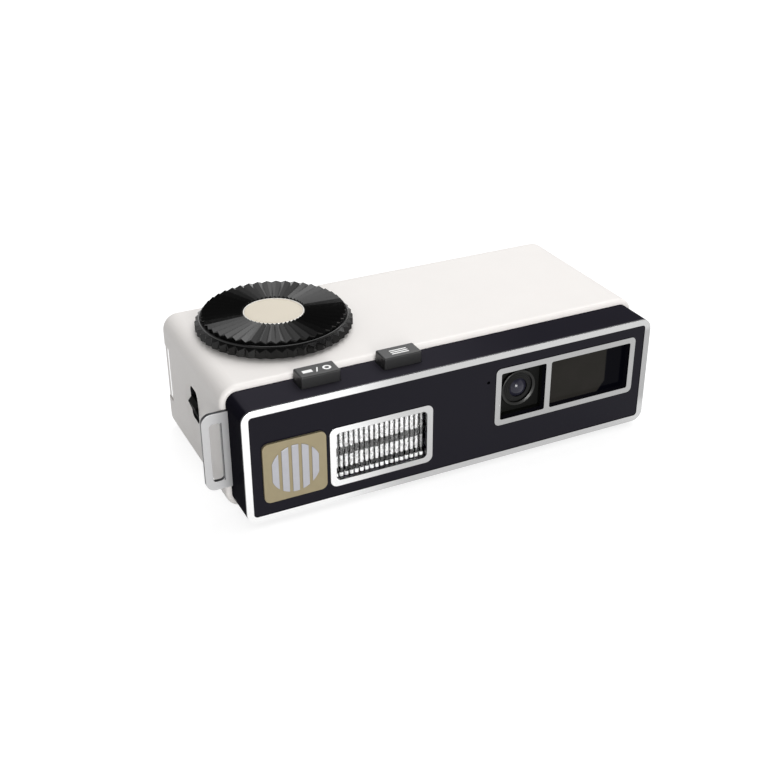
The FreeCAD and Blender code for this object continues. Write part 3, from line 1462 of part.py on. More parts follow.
def side_port():
    """The small hinged cover at the left rear, its pin, and the socket behind it."""
    cover_back = wider(("port_front", "port_back"), "-door_edge_gap")
    face = f"({body_across[0]} + cover_sink)"
    flap = block("port_flap", (f"({port_pin_across} - cover_thickness / 2)",
                               f"({port_pin_across} + cover_thickness / 2)"),
                 cover_back, (port_pin_up, "(port_high - door_edge_gap)"))
    knuckle = rod("port_knuckle", "y", "cover_thickness / 2", cover_back, (port_pin_across, port_pin_up))
    leaf = joined("port_leaf", flap, knuckle)
    hull_box = block("port_hull_box", (face, "0"), ("0", f"({body_rear} - cover_sink)"), body_up)
    hull = softened("port_hull", hull_box, "rear_edge - cover_sink",
                    lambda edge: along("z")(edge) and edge.BoundBox.XMax < worth(face) + 0.01
                    and edge.BoundBox.YMin > 1)
    curved = shared("port_curved_leaf", leaf, hull)
    pin_back = ("(port_front - door_pin_hold + slip_gap)", "(port_back - cover_thickness)")
    bore = rod("port_bore", "y", "cover_pin_radius + pin_running_gap",
               ("port_front", f"({pin_back[1]} + slip_gap)"), (port_pin_across, port_pin_up))
    keep(carved("port_cover", curved, bore))
    keep(rod("port_pin", "y", "cover_pin_radius", pin_back, (port_pin_across, port_pin_up)))

    socket = Piece("usb_socket")
    middle = "((port_low + port_high) / 2)"
    back = (main_board_rear, f"({main_board_rear} + socket_thickness)")
    up = around(middle, "socket_height")
    mouth = f"({left_wall} + slip_gap)"
    outline = socket.draw("side", mouth).rectangle(back, up, "socket_corner")
    socket.pad(outline, f"{mouth} + socket_length")
    hollow = socket.draw("side", mouth)
    hollow.rectangle(wider(back, "-socket_skin"), wider(up, "-socket_skin"),
                     "socket_corner - socket_skin")
    floor = f"({mouth} + socket_length - socket_back_wall)"
    socket.pocket(hollow, floor)
    tongue = socket.draw("side", floor)
    tongue.rectangle(around(f"({back[0]} + {back[1]}) / 2", "tongue_thickness"),
                     wider(up, "-tongue_inset"))
    socket.pad(tongue, f"{mouth} + socket_back_wall")


def rear_parts():
    """The screen, its cover plate, the main board and the rear keys."""
    glass = Piece("lcd_window")
    plate = glass.draw("front", body_rear).rectangle(screen_across, screen_up, "screen_corner")
    glass.pad(plate, f"{body_rear} - screen_depth")
    keep(block("lcd_module", wider(screen_across, "display_overlap"),
               (f"({rear_inside} - panel_gap - display_depth)", f"({rear_inside} - panel_gap)"),
               wider(screen_up, "display_overlap")))
    board = block("board_plate", ("main_board_left", "main_board_right"),
                  ("main_board_front", main_board_rear), ("main_board_bottom", "main_board_top"))
    keys_end = block("board_keys_end", ("main_board_left", f"(rear_key_across + rear_key_step)"),
                     ("main_board_front", main_board_rear),
                     (f"({middle_up} - rear_key_step - tact_side / 2)", "main_board_top"))
    holes = [rod(f"board_hole_{number}", "y", "boss_pilot + slip_gap",
                 ("(main_board_front - overshoot)", f"({main_board_rear} + overshoot)"), place)
             for number, place in enumerate(main_board_bosses, start=1)]
    keep(carved("main_board", joined("board_outline", board, keys_end), *holes))
    board_middle = "((main_board_bottom + main_board_top) / 2)"
    chips = [block(name, around(f"{name}_across", f"{name}_side"),
                   (f"(main_board_front - {name}_depth)", "main_board_front"),
                   around(board_middle, f"{name}_side"))
             for name in ("processor", "memory_chip", "coil_chip")]
    keep(together("board_chips", *chips))
    for name, (across, up, radius) in rear_keys.items():
        key = Piece(name, at=(across, "0", up))
        flange_rear = f"({rear_inside} - seat_gap)"
        flange_front = f"({flange_rear} - rear_key_flange_depth)"
        proud = f"({body_rear} + rear_key_proud)"
        key.pad(key.draw("front", flange_front).circle("0", "0", f"{radius} + rear_key_flange"),
                flange_rear)
        key.pad(key.draw("front", flange_rear).circle("0", "0", radius), proud)
        key.soften("rear_key_proud / 2", lying_at("y", proud))


def battery_bay():
    """The battery tray, the pack, its contacts, the hinged door and the card socket."""
    tray = Piece("battery_tray")
    pack_across = (f"({right_wall} - pack_end_gap - pack_length)", f"({right_wall} - pack_end_gap)")
    room_back = around("0", "pack_width + 2 * pack_gap")
    room_up = (f"({tray_floor} + tray_wall)",
               f"({tray_floor} + tray_wall + 2 * pack_gap + pack_thickness)")
    inner_end = f"({pack_across[0]} - contact_room)"
    mouth = f"({right_wall} - tray_mouth_inset)"
    hull = tray.draw("side", mouth)
    hull.rectangle(wider(room_back, "tray_wall"), wider(room_up, "tray_wall"))
    tray.pad(hull, f"{inner_end} - tray_wall")
    room = tray.draw("side", mouth).rectangle(room_back, room_up)
    tray.pocket(room, inner_end)
    feet = tray.draw("top", tray_floor)
    for across in wider((inner_end, mouth), "-tray_foot_inset"):
        for back in wider(room_back, "-tray_foot_inset"):
            feet.circle(across, back, "post_radius")
    tray.pad(feet, f"{tray_floor} - tray_foot")
    contact_up = around(f"({room_up[0]} + {room_up[1]}) / 2", "contact_height")
    contact_middles = [f"({room_back[0]} + contact_inset + {number} * contact_pitch)" for number in range(3)]
    slots = tray.draw("side", inner_end)
    for middle in contact_middles:
        slots.rectangle(around(middle, "contact_width + slip_gap"), wider(contact_up, "slip_gap / 2"))
    tray.pocket(slots, f"{inner_end} - tray_wall")

    blades = [block(f"contact_{number}",
                    (f"({inner_end} - contact_tail)", f"({pack_across[0]} - panel_gap)"),
                    around(middle, "contact_width"), contact_up)
              for number, middle in enumerate(contact_middles, start=1)]
    keep(together("battery_contacts", *blades))
    pack = block("pack_block", pack_across, around("0", "pack_width"), wider(room_up, "-pack_gap"))
    keep(softened("battery_pack", pack, "pack_thickness / 8", along("x")))

    flap = block("door_flap", around(door_pin_across, "door_thickness"), door_back,
                 (door_pin_up, f"({door_opening_up[1]} - door_edge_gap)"))
    knuckle = rod("door_knuckle", "y", "door_thickness / 2", door_back, (door_pin_across, door_pin_up))
    bore = rod("door_bore", "y", "door_pin_radius + pin_running_gap", wider(door_back, "overshoot"),
               (door_pin_across, door_pin_up))
    keep(carved("battery_door", joined("door_leaf", flap, knuckle), bore))
    keep(rod("battery_door_pin", "y", "door_pin_radius",
             wider(door_back, "door_edge_gap + door_pin_hold - slip_gap"),
             (door_pin_across, door_pin_up)))

    socket_up = (tray_top, f"({tray_top} + card_socket_thickness)")
    socket_back = around("card_socket_width / 2", "card_socket_width")
    socket_across = (f"({mouth} - card_socket_length)", mouth)
    case = block("card_socket_case", socket_across, socket_back, socket_up)
    slot_up = around(f"({tray_top} + card_socket_thickness / 2)", "card_thickness")
    slot_back = around("card_socket_width / 2", "card_width")
    card_across = (f"({mouth} + card_proud - card_length)", f"({mouth} + card_proud)")
    slot = block("card_slot", wider(card_across, "slip_gap"), wider(slot_back, "slip_gap"),
                 wider(slot_up, "slip_gap"))
    keep(carved("card_socket", case, slot))
    card = block("card_blank", card_across, slot_back, slot_up)
    keep(softened("memory_card", card, "card_thickness / 3", along("z")))


def base_parts():
    """The tripod nut in the base and the speaker."""
    nut = Piece("tripod_socket")
    wall = nut.draw("front").outline(
        ("thread_radius", "0"), ("nut_barrel_radius", "0"), ("nut_barrel_radius", "shell_wall"),
        ("nut_flange_radius", "shell_wall"), ("nut_flange_radius", "shell_wall + nut_flange_depth"),
        ("nut_barrel_radius", "shell_wall + nut_flange_depth"),
        ("nut_barrel_radius", "thread_depth + nut_top"), ("0", "thread_depth + nut_top"),
        ("0", "thread_depth"), ("thread_radius", "thread_depth"))
    nut.turn(wall)
    keep(rod("speaker", "z", "speaker_radius",
             ("(shell_wall + seat_gap)", "(shell_wall + seat_gap + speaker_depth)"),
             ("speaker_across", "speaker_back")))


def screw(name, across, up, head_rear, end):
    """One pan-head screw along Y, with its head at the rear."""
    head = rod(f"{name}_head", "y", "screw_head_radius",
               (f"({head_rear} - screw_head_depth)", head_rear), (across, up))
    shank = rod(f"{name}_shank", "y", "screw_radius - panel_gap",
                (end, f"({head_rear} - screw_head_depth / 2)"), (across, up))
    return joined(name, head, shank)


def screws():
    """Screws: four hold the block from inside the body, three hold the rear cover."""
    group = []
    for number, (across, up) in enumerate(block_screw_places, start=1):
        rear = f"({inside_front} + screw_head_depth)"
        group.append(screw(f"block_screw_{number}", across, up, rear,
                           f"({body_front} - block_screw_reach)"))
    for number, (across, up) in enumerate(cover_screw_places, start=1):
        group.append(screw(f"cover_screw_{number}", across, up, f"({body_rear} - slip_gap)",
                           f"({rear_inside} - cover_screw_reach)"))
    keep(together("case_screws", *group))
    group = []
    for number, (across, up) in enumerate(main_board_bosses, start=1):
        head = rod(f"board_screw_head_{number}", "y", "screw_head_radius",
                   ("(main_board_front - screw_head_depth)", "main_board_front"), (across, up))
        shank = rod(f"board_screw_shank_{number}", "y", "boss_pilot - panel_gap",
                    ("(main_board_front - screw_head_depth / 2)", f"({main_board_rear} + board_screw_reach)"),
                    (across, up))
        group.append(joined(f"board_screw_{number}", head, shank))
    under = f"({dial_board_top} - board_thickness)"
    for number, place in enumerate(dial_posts, start=1):
        head = rod(f"dial_screw_head_{number}", "z", "screw_head_radius",
                   (f"({under} - screw_head_depth)", under), place)
        shank = rod(f"dial_screw_shank_{number}", "z", "post_pilot - panel_gap",
                    (f"({under} - screw_head_depth / 2)", f"({dial_board_top} + board_screw_reach)"), place)
        group.append(joined(f"dial_screw_{number}", head, shank))
    keep(together("board_screws", *group))


white_body()
back_cover()
front_housing()
front_trim()
front_plate()
badge()
flash()
lens()
viewfinder()
microphone()
front_keys()
switches()
dial()
shutter()
strap_lug()
power_slider()
side_port()
rear_parts()
battery_bay()
base_parts()
screws()

doc.recompute()
for item in doc.Objects:
    if "Invalid" in item.State or "Error" in item.State:
        raise ValueError(f"{item.Name} failed: {item.State}")
for name, thing in parts.items():
    if thing.Shape.isNull() or not thing.Shape.isValid() or not thing.Shape.Solids:
        raise ValueError(f"{name} has no valid shape")
for name, thing in parts.items():
    thing.Shape.exportStep(f"parts/{name}.step")
    print(name, len(thing.Shape.Solids), "solid(s)", round(thing.Shape.Volume, 1), "mm3")
print(len(parts), "sub-parts written")
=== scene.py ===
import math

import bmesh
import bpy
from mathutils import Matrix, Vector


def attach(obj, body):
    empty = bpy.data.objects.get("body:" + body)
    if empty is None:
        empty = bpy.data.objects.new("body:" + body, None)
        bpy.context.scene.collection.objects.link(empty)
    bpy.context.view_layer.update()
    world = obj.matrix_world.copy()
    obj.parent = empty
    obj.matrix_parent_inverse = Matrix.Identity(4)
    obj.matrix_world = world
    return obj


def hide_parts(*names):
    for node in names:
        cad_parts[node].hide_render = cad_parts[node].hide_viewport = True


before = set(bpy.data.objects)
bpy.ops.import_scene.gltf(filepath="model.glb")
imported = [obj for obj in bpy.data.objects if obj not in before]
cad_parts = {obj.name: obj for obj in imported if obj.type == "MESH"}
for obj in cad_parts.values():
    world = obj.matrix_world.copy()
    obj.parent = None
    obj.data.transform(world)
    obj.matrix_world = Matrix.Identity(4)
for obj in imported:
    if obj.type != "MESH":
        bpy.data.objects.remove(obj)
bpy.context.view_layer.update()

# ---------------------------------------------------------------------------------------------
# The table, the light and the photograph's view
# The camera stands on a pale table under a soft lamp, in a bright room. The view is a little
# from above and from its left, as the picture was taken.
# ---------------------------------------------------------------------------------------------
MM = 0.001
TABLE_SIDE = 8.0
TABLE_WHITE = 0.36
TABLE_GLOW = 0.8
ROOM_LIGHT = 0.5
LAMP_SIDE = 0.7
LAMP_PLACE = (0.34, 0.34, 0.76)
LAMP_POWER = 5.7
LAMP_AIM = (0, 0, 0.02)
LOW_LAMP_SIDE = 0.35
LOW_LAMP_PLACE = (-0.10, -0.95, 0.16)
LOW_LAMP_POWER = 6.9
WALL_LIGHT = 0.8
WALL_EDGE = (0.50, 0.78)
CEILING_LIGHT = 0.05
PHOTO_SIZE = 768
FOCAL_PIXELS = 1218.66
PICTURE_CENTRE = (411.49, 385.51)
SENSOR_WIDTH = 36
VIEW_PLACE = (-0.12106, -0.24199, 0.15569)
VIEW_TURN = math.radians(-27.24)
VIEW_DIP = math.radians(28.59)
VIEW_ROLL = math.radians(0.41)


class Value:
    """What one shader node gives, so that a pattern can be written as plain arithmetic."""

    def __init__(self, finish, socket):
        self.finish = finish
        self.socket = socket

    def worked(self, operation, first, second):
        return self.finish.node("ShaderNodeMath", {"operation": operation}, {0: first, 1: second})

    def at_most(self, limit):
        return self.worked("MINIMUM", self, limit)

    def at_least(self, limit):
        return self.worked("MAXIMUM", self, limit)

    def __add__(self, other):
        return self.worked("ADD", self, other)

    def __radd__(self, other):
        return self.worked("ADD", other, self)

    def __sub__(self, other):
        return self.worked("SUBTRACT", self, other)

    def __rsub__(self, other):
        return self.worked("SUBTRACT", other, self)

    def __mul__(self, other):
        return self.worked("MULTIPLY", self, other)

    def __rmul__(self, other):
        return self.worked("MULTIPLY", other, self)

    def __truediv__(self, other):
        return self.worked("DIVIDE", self, other)

    def __gt__(self, other):
        return self.worked("GREATER_THAN", self, other)

    def __lt__(self, other):
        return self.worked("LESS_THAN", self, other)

    def __mod__(self, other):
        return self.worked("FLOORED_MODULO", self, other)

    def __abs__(self):
        return self.worked("ABSOLUTE", self, 0.0)

    def __pow__(self, other):
        return self.worked("POWER", self, other)


class NodeSet:
    """Adds nodes to a material's or the room's shader and joins them up."""

    def __init__(self, tree):
        self.nodes = tree.nodes
        self.links = tree.links

    def feed(self, socket, value):
        if isinstance(value, Value):
            self.links.new(value.socket, socket)
        else:
            socket.default_value = value

    def node(self, kind, settings=None, sockets=None, output=0):
        made = self.nodes.new(kind)
        for name, setting in (settings or {}).items():
            setattr(made, name, setting)
        for place, value in (sockets or {}).items():
            self.feed(made.inputs[place], value)
        return Value(self, made.outputs[output]) if made.outputs else made

    def path(self, kind):
        return self.node("ShaderNodeLightPath", output=kind)

    def seen(self):
        """1 for the rays of the camera, of mirrors and of glass, and 0 for the light itself."""
        rays = self.path("Is Camera Ray") + self.path("Is Glossy Ray")
        return (rays + self.path("Is Transmission Ray")).at_most(1.0)


table_form = bmesh.new()
bmesh.ops.create_grid(table_form, x_segments=2, y_segments=2, size=TABLE_SIDE / 2)
table_mesh = bpy.data.meshes.new("table")
table_form.to_mesh(table_mesh)
table_form.free()
table = bpy.data.objects.new("table", table_mesh)
bpy.context.scene.collection.objects.link(table)
table_material = bpy.data.materials.new("table_paper")
table_material.use_nodes = True
table_material.node_tree.nodes.clear()
paper = NodeSet(table_material.node_tree)
paper_face = paper.node("ShaderNodeBsdfDiffuse", {}, {"Color": (TABLE_WHITE,) * 3 + (1,)})
paper_glow = paper.node("ShaderNodeEmission", {}, {"Strength": paper.seen() * TABLE_GLOW})
paper.node("ShaderNodeOutputMaterial", {}, {"Surface": paper.node(
    "ShaderNodeAddShader", {}, {0: paper_face, 1: paper_glow})})
table_mesh.materials.append(table_material)

room = bpy.data.worlds.new("room")
room.use_nodes = True
room.node_tree.nodes.clear()
walls = NodeSet(room.node_tree)
wall_way = walls.node("ShaderNodeTexCoord", {}, {}, "Generated")
wall_height = walls.node("ShaderNodeSeparateXYZ", {}, {0: wall_way}, "Z")
wall_mirrored = walls.node("ShaderNodeMapRange", {"interpolation_type": "SMOOTHSTEP"}, {
    "Value": wall_height, "From Min": WALL_EDGE[0], "From Max": WALL_EDGE[1],
    "To Min": WALL_LIGHT, "To Max": CEILING_LIGHT})
wall_seen = walls.path("Is Camera Ray") + walls.path("Is Transmission Ray")
wall_bounced = walls.path("Is Glossy Ray") * (1 - wall_seen)
wall_plain = (1 - wall_seen) * (1 - wall_bounced)
walls.node("ShaderNodeOutputWorld", {}, {"Surface": walls.node("ShaderNodeBackground", {}, {
    "Color": (1, 1, 1, 1),
    "Strength": wall_seen + wall_bounced * wall_mirrored + wall_plain * ROOM_LIGHT})})
bpy.context.scene.world = room

for lamp_name, side, power, place in (("soft_lamp", LAMP_SIDE, LAMP_POWER, LAMP_PLACE),
                                      ("low_lamp", LOW_LAMP_SIDE, LOW_LAMP_POWER, LOW_LAMP_PLACE)):
    lamp_light = bpy.data.lights.new(lamp_name, "AREA")
    lamp_light.size = side
    lamp_light.energy = power
    lamp = bpy.data.objects.new(lamp_name, lamp_light)
    lamp.location = place
    lamp.rotation_euler = (Vector(LAMP_AIM) - Vector(place)).to_track_quat("-Z", "Y").to_euler()
    bpy.context.scene.collection.objects.link(lamp)

view_data = bpy.data.cameras.new("photo_view")
view_data.sensor_width = SENSOR_WIDTH
view_data.lens = FOCAL_PIXELS / PHOTO_SIZE * SENSOR_WIDTH
view_data.shift_x = (PHOTO_SIZE / 2 - PICTURE_CENTRE[0]) / PHOTO_SIZE
view_data.shift_y = (PICTURE_CENTRE[1] - PHOTO_SIZE / 2) / PHOTO_SIZE
view_data.clip_start = 0.01
view = bpy.data.objects.new("photo_view", view_data)
view.matrix_world = (Matrix.Translation(VIEW_PLACE) @ Matrix.Rotation(VIEW_TURN, 4, "Z")
                     @ Matrix.Rotation(math.pi / 2 - VIEW_DIP, 4, "X")
                     @ Matrix.Rotation(VIEW_ROLL, 4, "Z"))
bpy.context.scene.collection.objects.link(view)
bpy.context.scene.camera = view
bpy.context.scene.view_settings.view_transform = "Standard"

# ---------------------------------------------------------------------------------------------
# The white body
# One moulded shell of white plastic with a fine satin skin. Everything else is fixed into it,
# and a dark cover closes it at the rear.
# ---------------------------------------------------------------------------------------------
BODY_WHITE = (0.80, 0.772, 0.748)
BODY_SHADE = (0.77, 0.742, 0.719)
SLOT_PAINTED_SHADE = (0.012, 0.012, 0.014)
# the upright slot at the left, with painted shade on its walls inside: centre and half size along Y
# and Z
SLOT_CENTRE = (-2.0, 17.1)
SLOT_HALF = (2.7, 4.1)
SLOT_CORNER = 1.35
SLOT_EDGE = 0.03
SLOT_FRONT = -50.0
PATCH_SIZE = 9.0


class Finish(NodeSet):
    """One finish: a shader with its constant values, and what varies over the surface."""

    def __init__(self, name, constants=None):
        self.material = bpy.data.materials.new(name)
        self.material.use_nodes = True
        super().__init__(self.material.node_tree)
        self.shader = self.nodes["Principled BSDF"]
        for place, value in (constants or {}).items():
            self.shader.inputs[place].default_value = value
        self.spot = self.node("ShaderNodeTexCoord", {}, {}, "Object")

    def vary(self, place, value):
        self.feed(self.shader.inputs[place], value)

    def coloured(self, colour):
        """Sets the colour, and keeps it for marks that are laid over it."""
        self.colour = colour
        self.vary("Base Color", colour)

    def marked(self, marks, mark_colour):
        self.vary("Base Color", self.mixed(marks, self.colour, mark_colour))

    def grain(self, size, detail=2.0, stretch=(1, 1, 1)):
        """Soft random patches of about this size in millimetres, from 0 to 1."""
        spot = self.node("ShaderNodeMapping", {"vector_type": "POINT"}, {
            0: self.spot, "Scale": stretch})
        return self.node("ShaderNodeTexNoise", {}, {
            "Vector": spot, "Scale": 1 / (size * MM), "Detail": detail})

    def across(self, axis):
        """The place on the surface along X, Y or Z, in millimetres."""
        return self.node("ShaderNodeSeparateXYZ", {}, {0: self.spot}, axis) / MM

    def between(self, value, low, high):
        """0 below low and 1 above high, with a soft step in between."""
        return self.node("ShaderNodeMapRange", {"interpolation_type": "SMOOTHSTEP"}, {
            "Value": value, "From Min": low, "From Max": high})

    def mixed(self, share, first, second):
        """One colour where the share is 0 and the other where it is 1."""
        first, second = (c if isinstance(c, Value) else tuple(c) + (1,) for c in (first, second))
        return self.node("ShaderNodeMix", {"data_type": "RGBA"}, {
            0: share, 6: first, 7: second}, 2)

    def relief(self, height, depth):
        """Raises and lowers the surface by this height times the depth in millimetres."""
        self.vary("Normal", self.node("ShaderNodeBump", {}, {
            "Height": height, "Distance": depth * MM, "Strength": 1.0}))
        return self

    def wear(self, *node_names):
        """Gives this finish to pieces that come from the frame as they are."""
        for node_name in node_names:
            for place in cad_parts[node_name].material_slots:
                place.material = self.material


def moulded(name, colour, shade, roughness, grain_size=0.35, depth=0.01, constants=None):
    """Moulded plastic: two near colours in soft patches and a fine grain."""
    finish = Finish(name, constants)
    patches = finish.grain(PATCH_SIZE, 3.0)
    skin = finish.grain(grain_size, 2.0)
    finish.coloured(finish.mixed(patches, shade, colour))
    finish.vary("Roughness", roughness + (skin - 0.5) * 0.12 + (patches - 0.5) * 0.06)
    return finish.relief(skin, depth)


body_white = moulded("body_white", BODY_WHITE, BODY_SHADE, 0.42,
                     constants={"Specular IOR Level": 0.4})
slot_past = [(abs(body_white.across(axis) - centre) - (half - SLOT_CORNER)).at_least(0.0)
             for axis, centre, half in zip("YZ", SLOT_CENTRE, SLOT_HALF)]
slot_shade_mask = slot_past[0] ** 2 + slot_past[1] ** 2 < (SLOT_CORNER + SLOT_EDGE) ** 2
# painted shade: the slot's inside walls past its front edge are coloured near-black
body_white.marked(slot_shade_mask * (body_white.across("X") < SLOT_FRONT), SLOT_PAINTED_SHADE)
body_white.wear("main_shell", "battery_door")

# ---------------------------------------------------------------------------------------------
# The front block and its panel
# A glossy dark block is screwed to the body's front and carries the keys. A glossy dark panel
# lies in its face, with the windows cut through it.
# ---------------------------------------------------------------------------------------------
BLOCK_DARK = (0.0085, 0.008, 0.0125)
BLOCK_SHADE = (0.007, 0.0066, 0.0105)
# a painted sheen makes the top face paler, most of all at its left
BLOCK_TOP_SHEEN = (0.0265, 0.025, 0.032)
BLOCK_TOP_UP = (29.0, 29.35)
BLOCK_TOP_ACROSS = (25.0, -15.0)
BLOCK_TOP_LEAST = 0.4
PANEL_DARK = (0.0085, 0.0078, 0.0126)
PANEL_SHADE = (0.0077, 0.0070, 0.0114)

block_gloss = moulded("block_gloss", BLOCK_DARK, BLOCK_SHADE, 0.2, 0.2, 0.003, {"IOR": 1.012})
block_sheen_left = block_gloss.between(block_gloss.across("X"), *BLOCK_TOP_ACROSS)
# painted sheen on the top face, stronger towards the left
block_gloss.marked(block_gloss.between(block_gloss.across("Z"), *BLOCK_TOP_UP)
                   * (BLOCK_TOP_LEAST + (1 - BLOCK_TOP_LEAST) * block_sheen_left), BLOCK_TOP_SHEEN)
block_gloss.wear("front_block")
panel_gloss = moulded("panel_gloss", PANEL_DARK, PANEL_SHADE, 0.14, 0.5, 0.001,
                      {"Specular IOR Level": 0.09})
panel_gloss.wear("front_panel")

# ---------------------------------------------------------------------------------------------
# The silver rim and the two silver frames
# Thin plated plates with a softly rounded front edge: one round the whole front, one round
# the flash and one round the lens and the finder. They are glued down.
# ---------------------------------------------------------------------------------------------
RIM_BOX = (-52.5, 1.28, 52.5, 29.48)
RIM_CORNER = 2.72
RIM_BAND = 1.6
RIM_INNER_CORNER = 0.85
RIM_REAR = -30.94
RIM_DEPTH = 0.5
FRAME_REAR = -31.04
FRAME_DEPTH = 0.4
FLASH_FRAME = (-32.6, 5.4, -7.08, 20.5)
FLASH_FRAME_CORNER = 1.7
FLASH_WINDOW = (-31.14, 6.86, -8.54, 19.04)
FLASH_WINDOW_CORNER = 1.1
WINDOW_FRAME = (9.33, 10.23, 48.39, 25.33)
WINDOW_FRAME_CORNER = 1.3
LENS_WINDOW = (10.79, 11.69, 22.94, 23.87)
FINDER_WINDOW = (24.41, 11.69, 46.93, 23.87)
SMALL_CORNER = 0.45
PLATE_EDGE = 0.07
PLATE_EDGE_STEPS = 3
CORNER_STEPS = 8
SILVER = (0.53, 0.53, 0.53)
SILVER_SHADE = (0.515, 0.515, 0.52)
# a painted highlight at the left, a painted dull reflection in the middle, and painted shade on
# each plate's cut sides
SILVER_PAINTED_HIGHLIGHT = (0.90, 0.90, 0.90)
SILVER_BRIGHT_ACROSS = (-12.0, -34.0)
SILVER_PAINTED_DULL = (0.385, 0.385, 0.385)
SILVER_DULL_ACROSS = (-8.0, 16.0)
SILVER_DULL_UP = ((5.0, 9.0), (27.6, 26.0))
SILVER_EDGE_SHADE = (0.05, 0.05, 0.055)
SILVER_CUT_BACK = (-31.41, -31.36)


def inset(box, width):
    return box[0] + width, box[1] + width, box[2] - width, box[3] - width


def join_in(form, part):
    """Puts a part into a form, and frees the part."""
    mesh = bpy.data.meshes.new("part")
    part.to_mesh(mesh)
    part.free()
    form.from_mesh(mesh)
    bpy.data.meshes.remove(mesh)


def thicken(form, way):
    """Draws the faces of a form out into a solid, and gives the points that moved."""
    grown = bmesh.ops.extrude_face_region(form, geom=list(form.faces))["geom"]
    moved = [v for v in grown if isinstance(v, bmesh.types.BMVert)]
    bmesh.ops.translate(form, vec=way, verts=moved)
    form.normal_update()
    return set(moved)


def outline(form, box, corner, rear):
    """The edges of an upright rounded rectangle that faces the front."""
    left, low, right, high = box
    corners = [form.verts.new((x, rear, z))
               for x, z in ((left, low), (right, low), (right, high), (left, high))]
    form.faces.new(corners)
    bmesh.ops.bevel(form, geom=corners, affect="VERTICES", offset=corner, segments=CORNER_STEPS,
                    profile=0.5, material=-1)
    bmesh.ops.delete(form, geom=list(form.faces), context="FACES_ONLY")


def plate(outer, holes, rear, depth, edge):
    """A flat upright plate with a rounded outline, rounded holes and a soft front edge."""
    form = bmesh.new()
    for box, corner in (outer, *holes):
        sheet = bmesh.new()
        outline(sheet, box, corner, rear)
        join_in(form, sheet)
    bmesh.ops.triangle_fill(form, use_beauty=True, edges=form.edges, normal=(0, -1, 0))
    front = thicken(form, (0, -depth, 0))
    rim = [e for e in form.edges if e.verts[0] in front and e.verts[1] in front
           and e.calc_face_angle(0) > 1.0]
    bmesh.ops.bevel(form, geom=rim, affect="EDGES", offset=edge, segments=PLATE_EDGE_STEPS,
                    profile=0.5, material=-1, clamp_overlap=True)
    return form


def finished(name, form, finish, body, slot, *stands_for, sharp=12):
    """Turns a form in millimetres into a named piece of the camera that moves with a body."""
    bmesh.ops.remove_doubles(form, verts=form.verts, dist=0.0005)
    bmesh.ops.recalc_face_normals(form, faces=form.faces)
    bmesh.ops.scale(form, vec=(MM, MM, MM), verts=form.verts)
    mesh = bpy.data.meshes.new(name)
    form.to_mesh(mesh)
    form.free()
    mesh.materials.append(finish.material)
    mesh.shade_smooth()
    mesh.set_sharp_from_angle(angle=math.radians(sharp))
    piece = bpy.data.objects.new(name, mesh)
    bpy.context.scene.collection.objects.link(piece)
    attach(piece, body)
    if stands_for:
        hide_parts(*stands_for)


def plated(name, colour, shade, roughness, brush=(1, 1, 1), metallic=1.0):
    """Plated metal with faint patches and fine lines left by polishing."""
    finish = Finish(name, {"Metallic": metallic})
    patches = finish.grain(6.0, 3.0)
    lines = finish.grain(0.5, 3.0, brush)
    finish.vary("Base Color", finish.mixed(patches, shade, colour))
    finish.vary("Roughness", roughness + (lines - 0.5) * 0.12 + (patches - 0.5) * 0.05)
    return finish.relief(lines, 0.004)


silver_plating = plated("silver_plating", SILVER, SILVER_SHADE, 0.24, (0.2, 1, 1))
silver_across = silver_plating.across("X")
silver_up = silver_plating.across("Z")
# painted dull reflection across the middle, between the top and bottom bands
silver_painted_dull = silver_plating.between(silver_across, *SILVER_DULL_ACROSS)
for limits in SILVER_DULL_UP:
    silver_painted_dull = silver_painted_dull * silver_plating.between(silver_up, *limits)
# painted highlight towards the left
silver_plating.coloured(silver_plating.mixed(
    silver_plating.between(silver_across, *SILVER_BRIGHT_ACROSS), SILVER, SILVER_PAINTED_HIGHLIGHT))
silver_plating.coloured(silver_plating.mixed(silver_painted_dull, silver_plating.colour, SILVER_PAINTED_DULL))
# painted shade on the plates' sides behind the soft front edge
silver_plating.marked(silver_plating.between(silver_plating.across("Y"), *SILVER_CUT_BACK),
                      SILVER_EDGE_SHADE)

for stood_for, outer, holes, rear, depth in (
        ("front_rim", (RIM_BOX, RIM_CORNER), [(inset(RIM_BOX, RIM_BAND), RIM_INNER_CORNER)],
         RIM_REAR, RIM_DEPTH),
        ("flash_frame", (FLASH_FRAME, FLASH_FRAME_CORNER), [(FLASH_WINDOW, FLASH_WINDOW_CORNER)],
         FRAME_REAR, FRAME_DEPTH),
        ("window_frame", (WINDOW_FRAME, WINDOW_FRAME_CORNER),
         [(LENS_WINDOW, SMALL_CORNER), (FINDER_WINDOW, SMALL_CORNER)], FRAME_REAR, FRAME_DEPTH)):
    finished(stood_for + "_plate", plate(outer, holes, rear, depth, PLATE_EDGE),
             silver_plating, "camera", "silver_plating", stood_for)

# ---------------------------------------------------------------------------------------------
# The badge
# A small champagne-coloured plate is glued to the panel. Its emblem of five upright bars,
# cut to a round outline, is a thin silver plate on it.
# ---------------------------------------------------------------------------------------------
BADGE_CENTRE = (-41.0, 13.4)
BADGE_SIDE = 14.8
BADGE_CORNER = 1.5
BADGE_REAR = -31.24
BADGE_DEPTH = 0.6
BADGE_EDGE = 0.16
EMBLEM_RADIUS = 5.9
EMBLEM_STEPS = 96
EMBLEM_BAR = 1.6
EMBLEM_PITCH = 2.35
EMBLEM_DEPTH = 0.2
EMBLEM_EDGE = 0.09
# a cut close to a point of the circle leaves a side too short for the soft edge
SHORTEST_SIDE = 0.15
CHAMPAGNE = (0.31, 0.262, 0.16)
CHAMPAGNE_SHADE = (0.26, 0.218, 0.132)
EMBLEM_SILVER = (0.42, 0.42, 0.45)
EMBLEM_SHADE = (0.37, 0.37, 0.40)

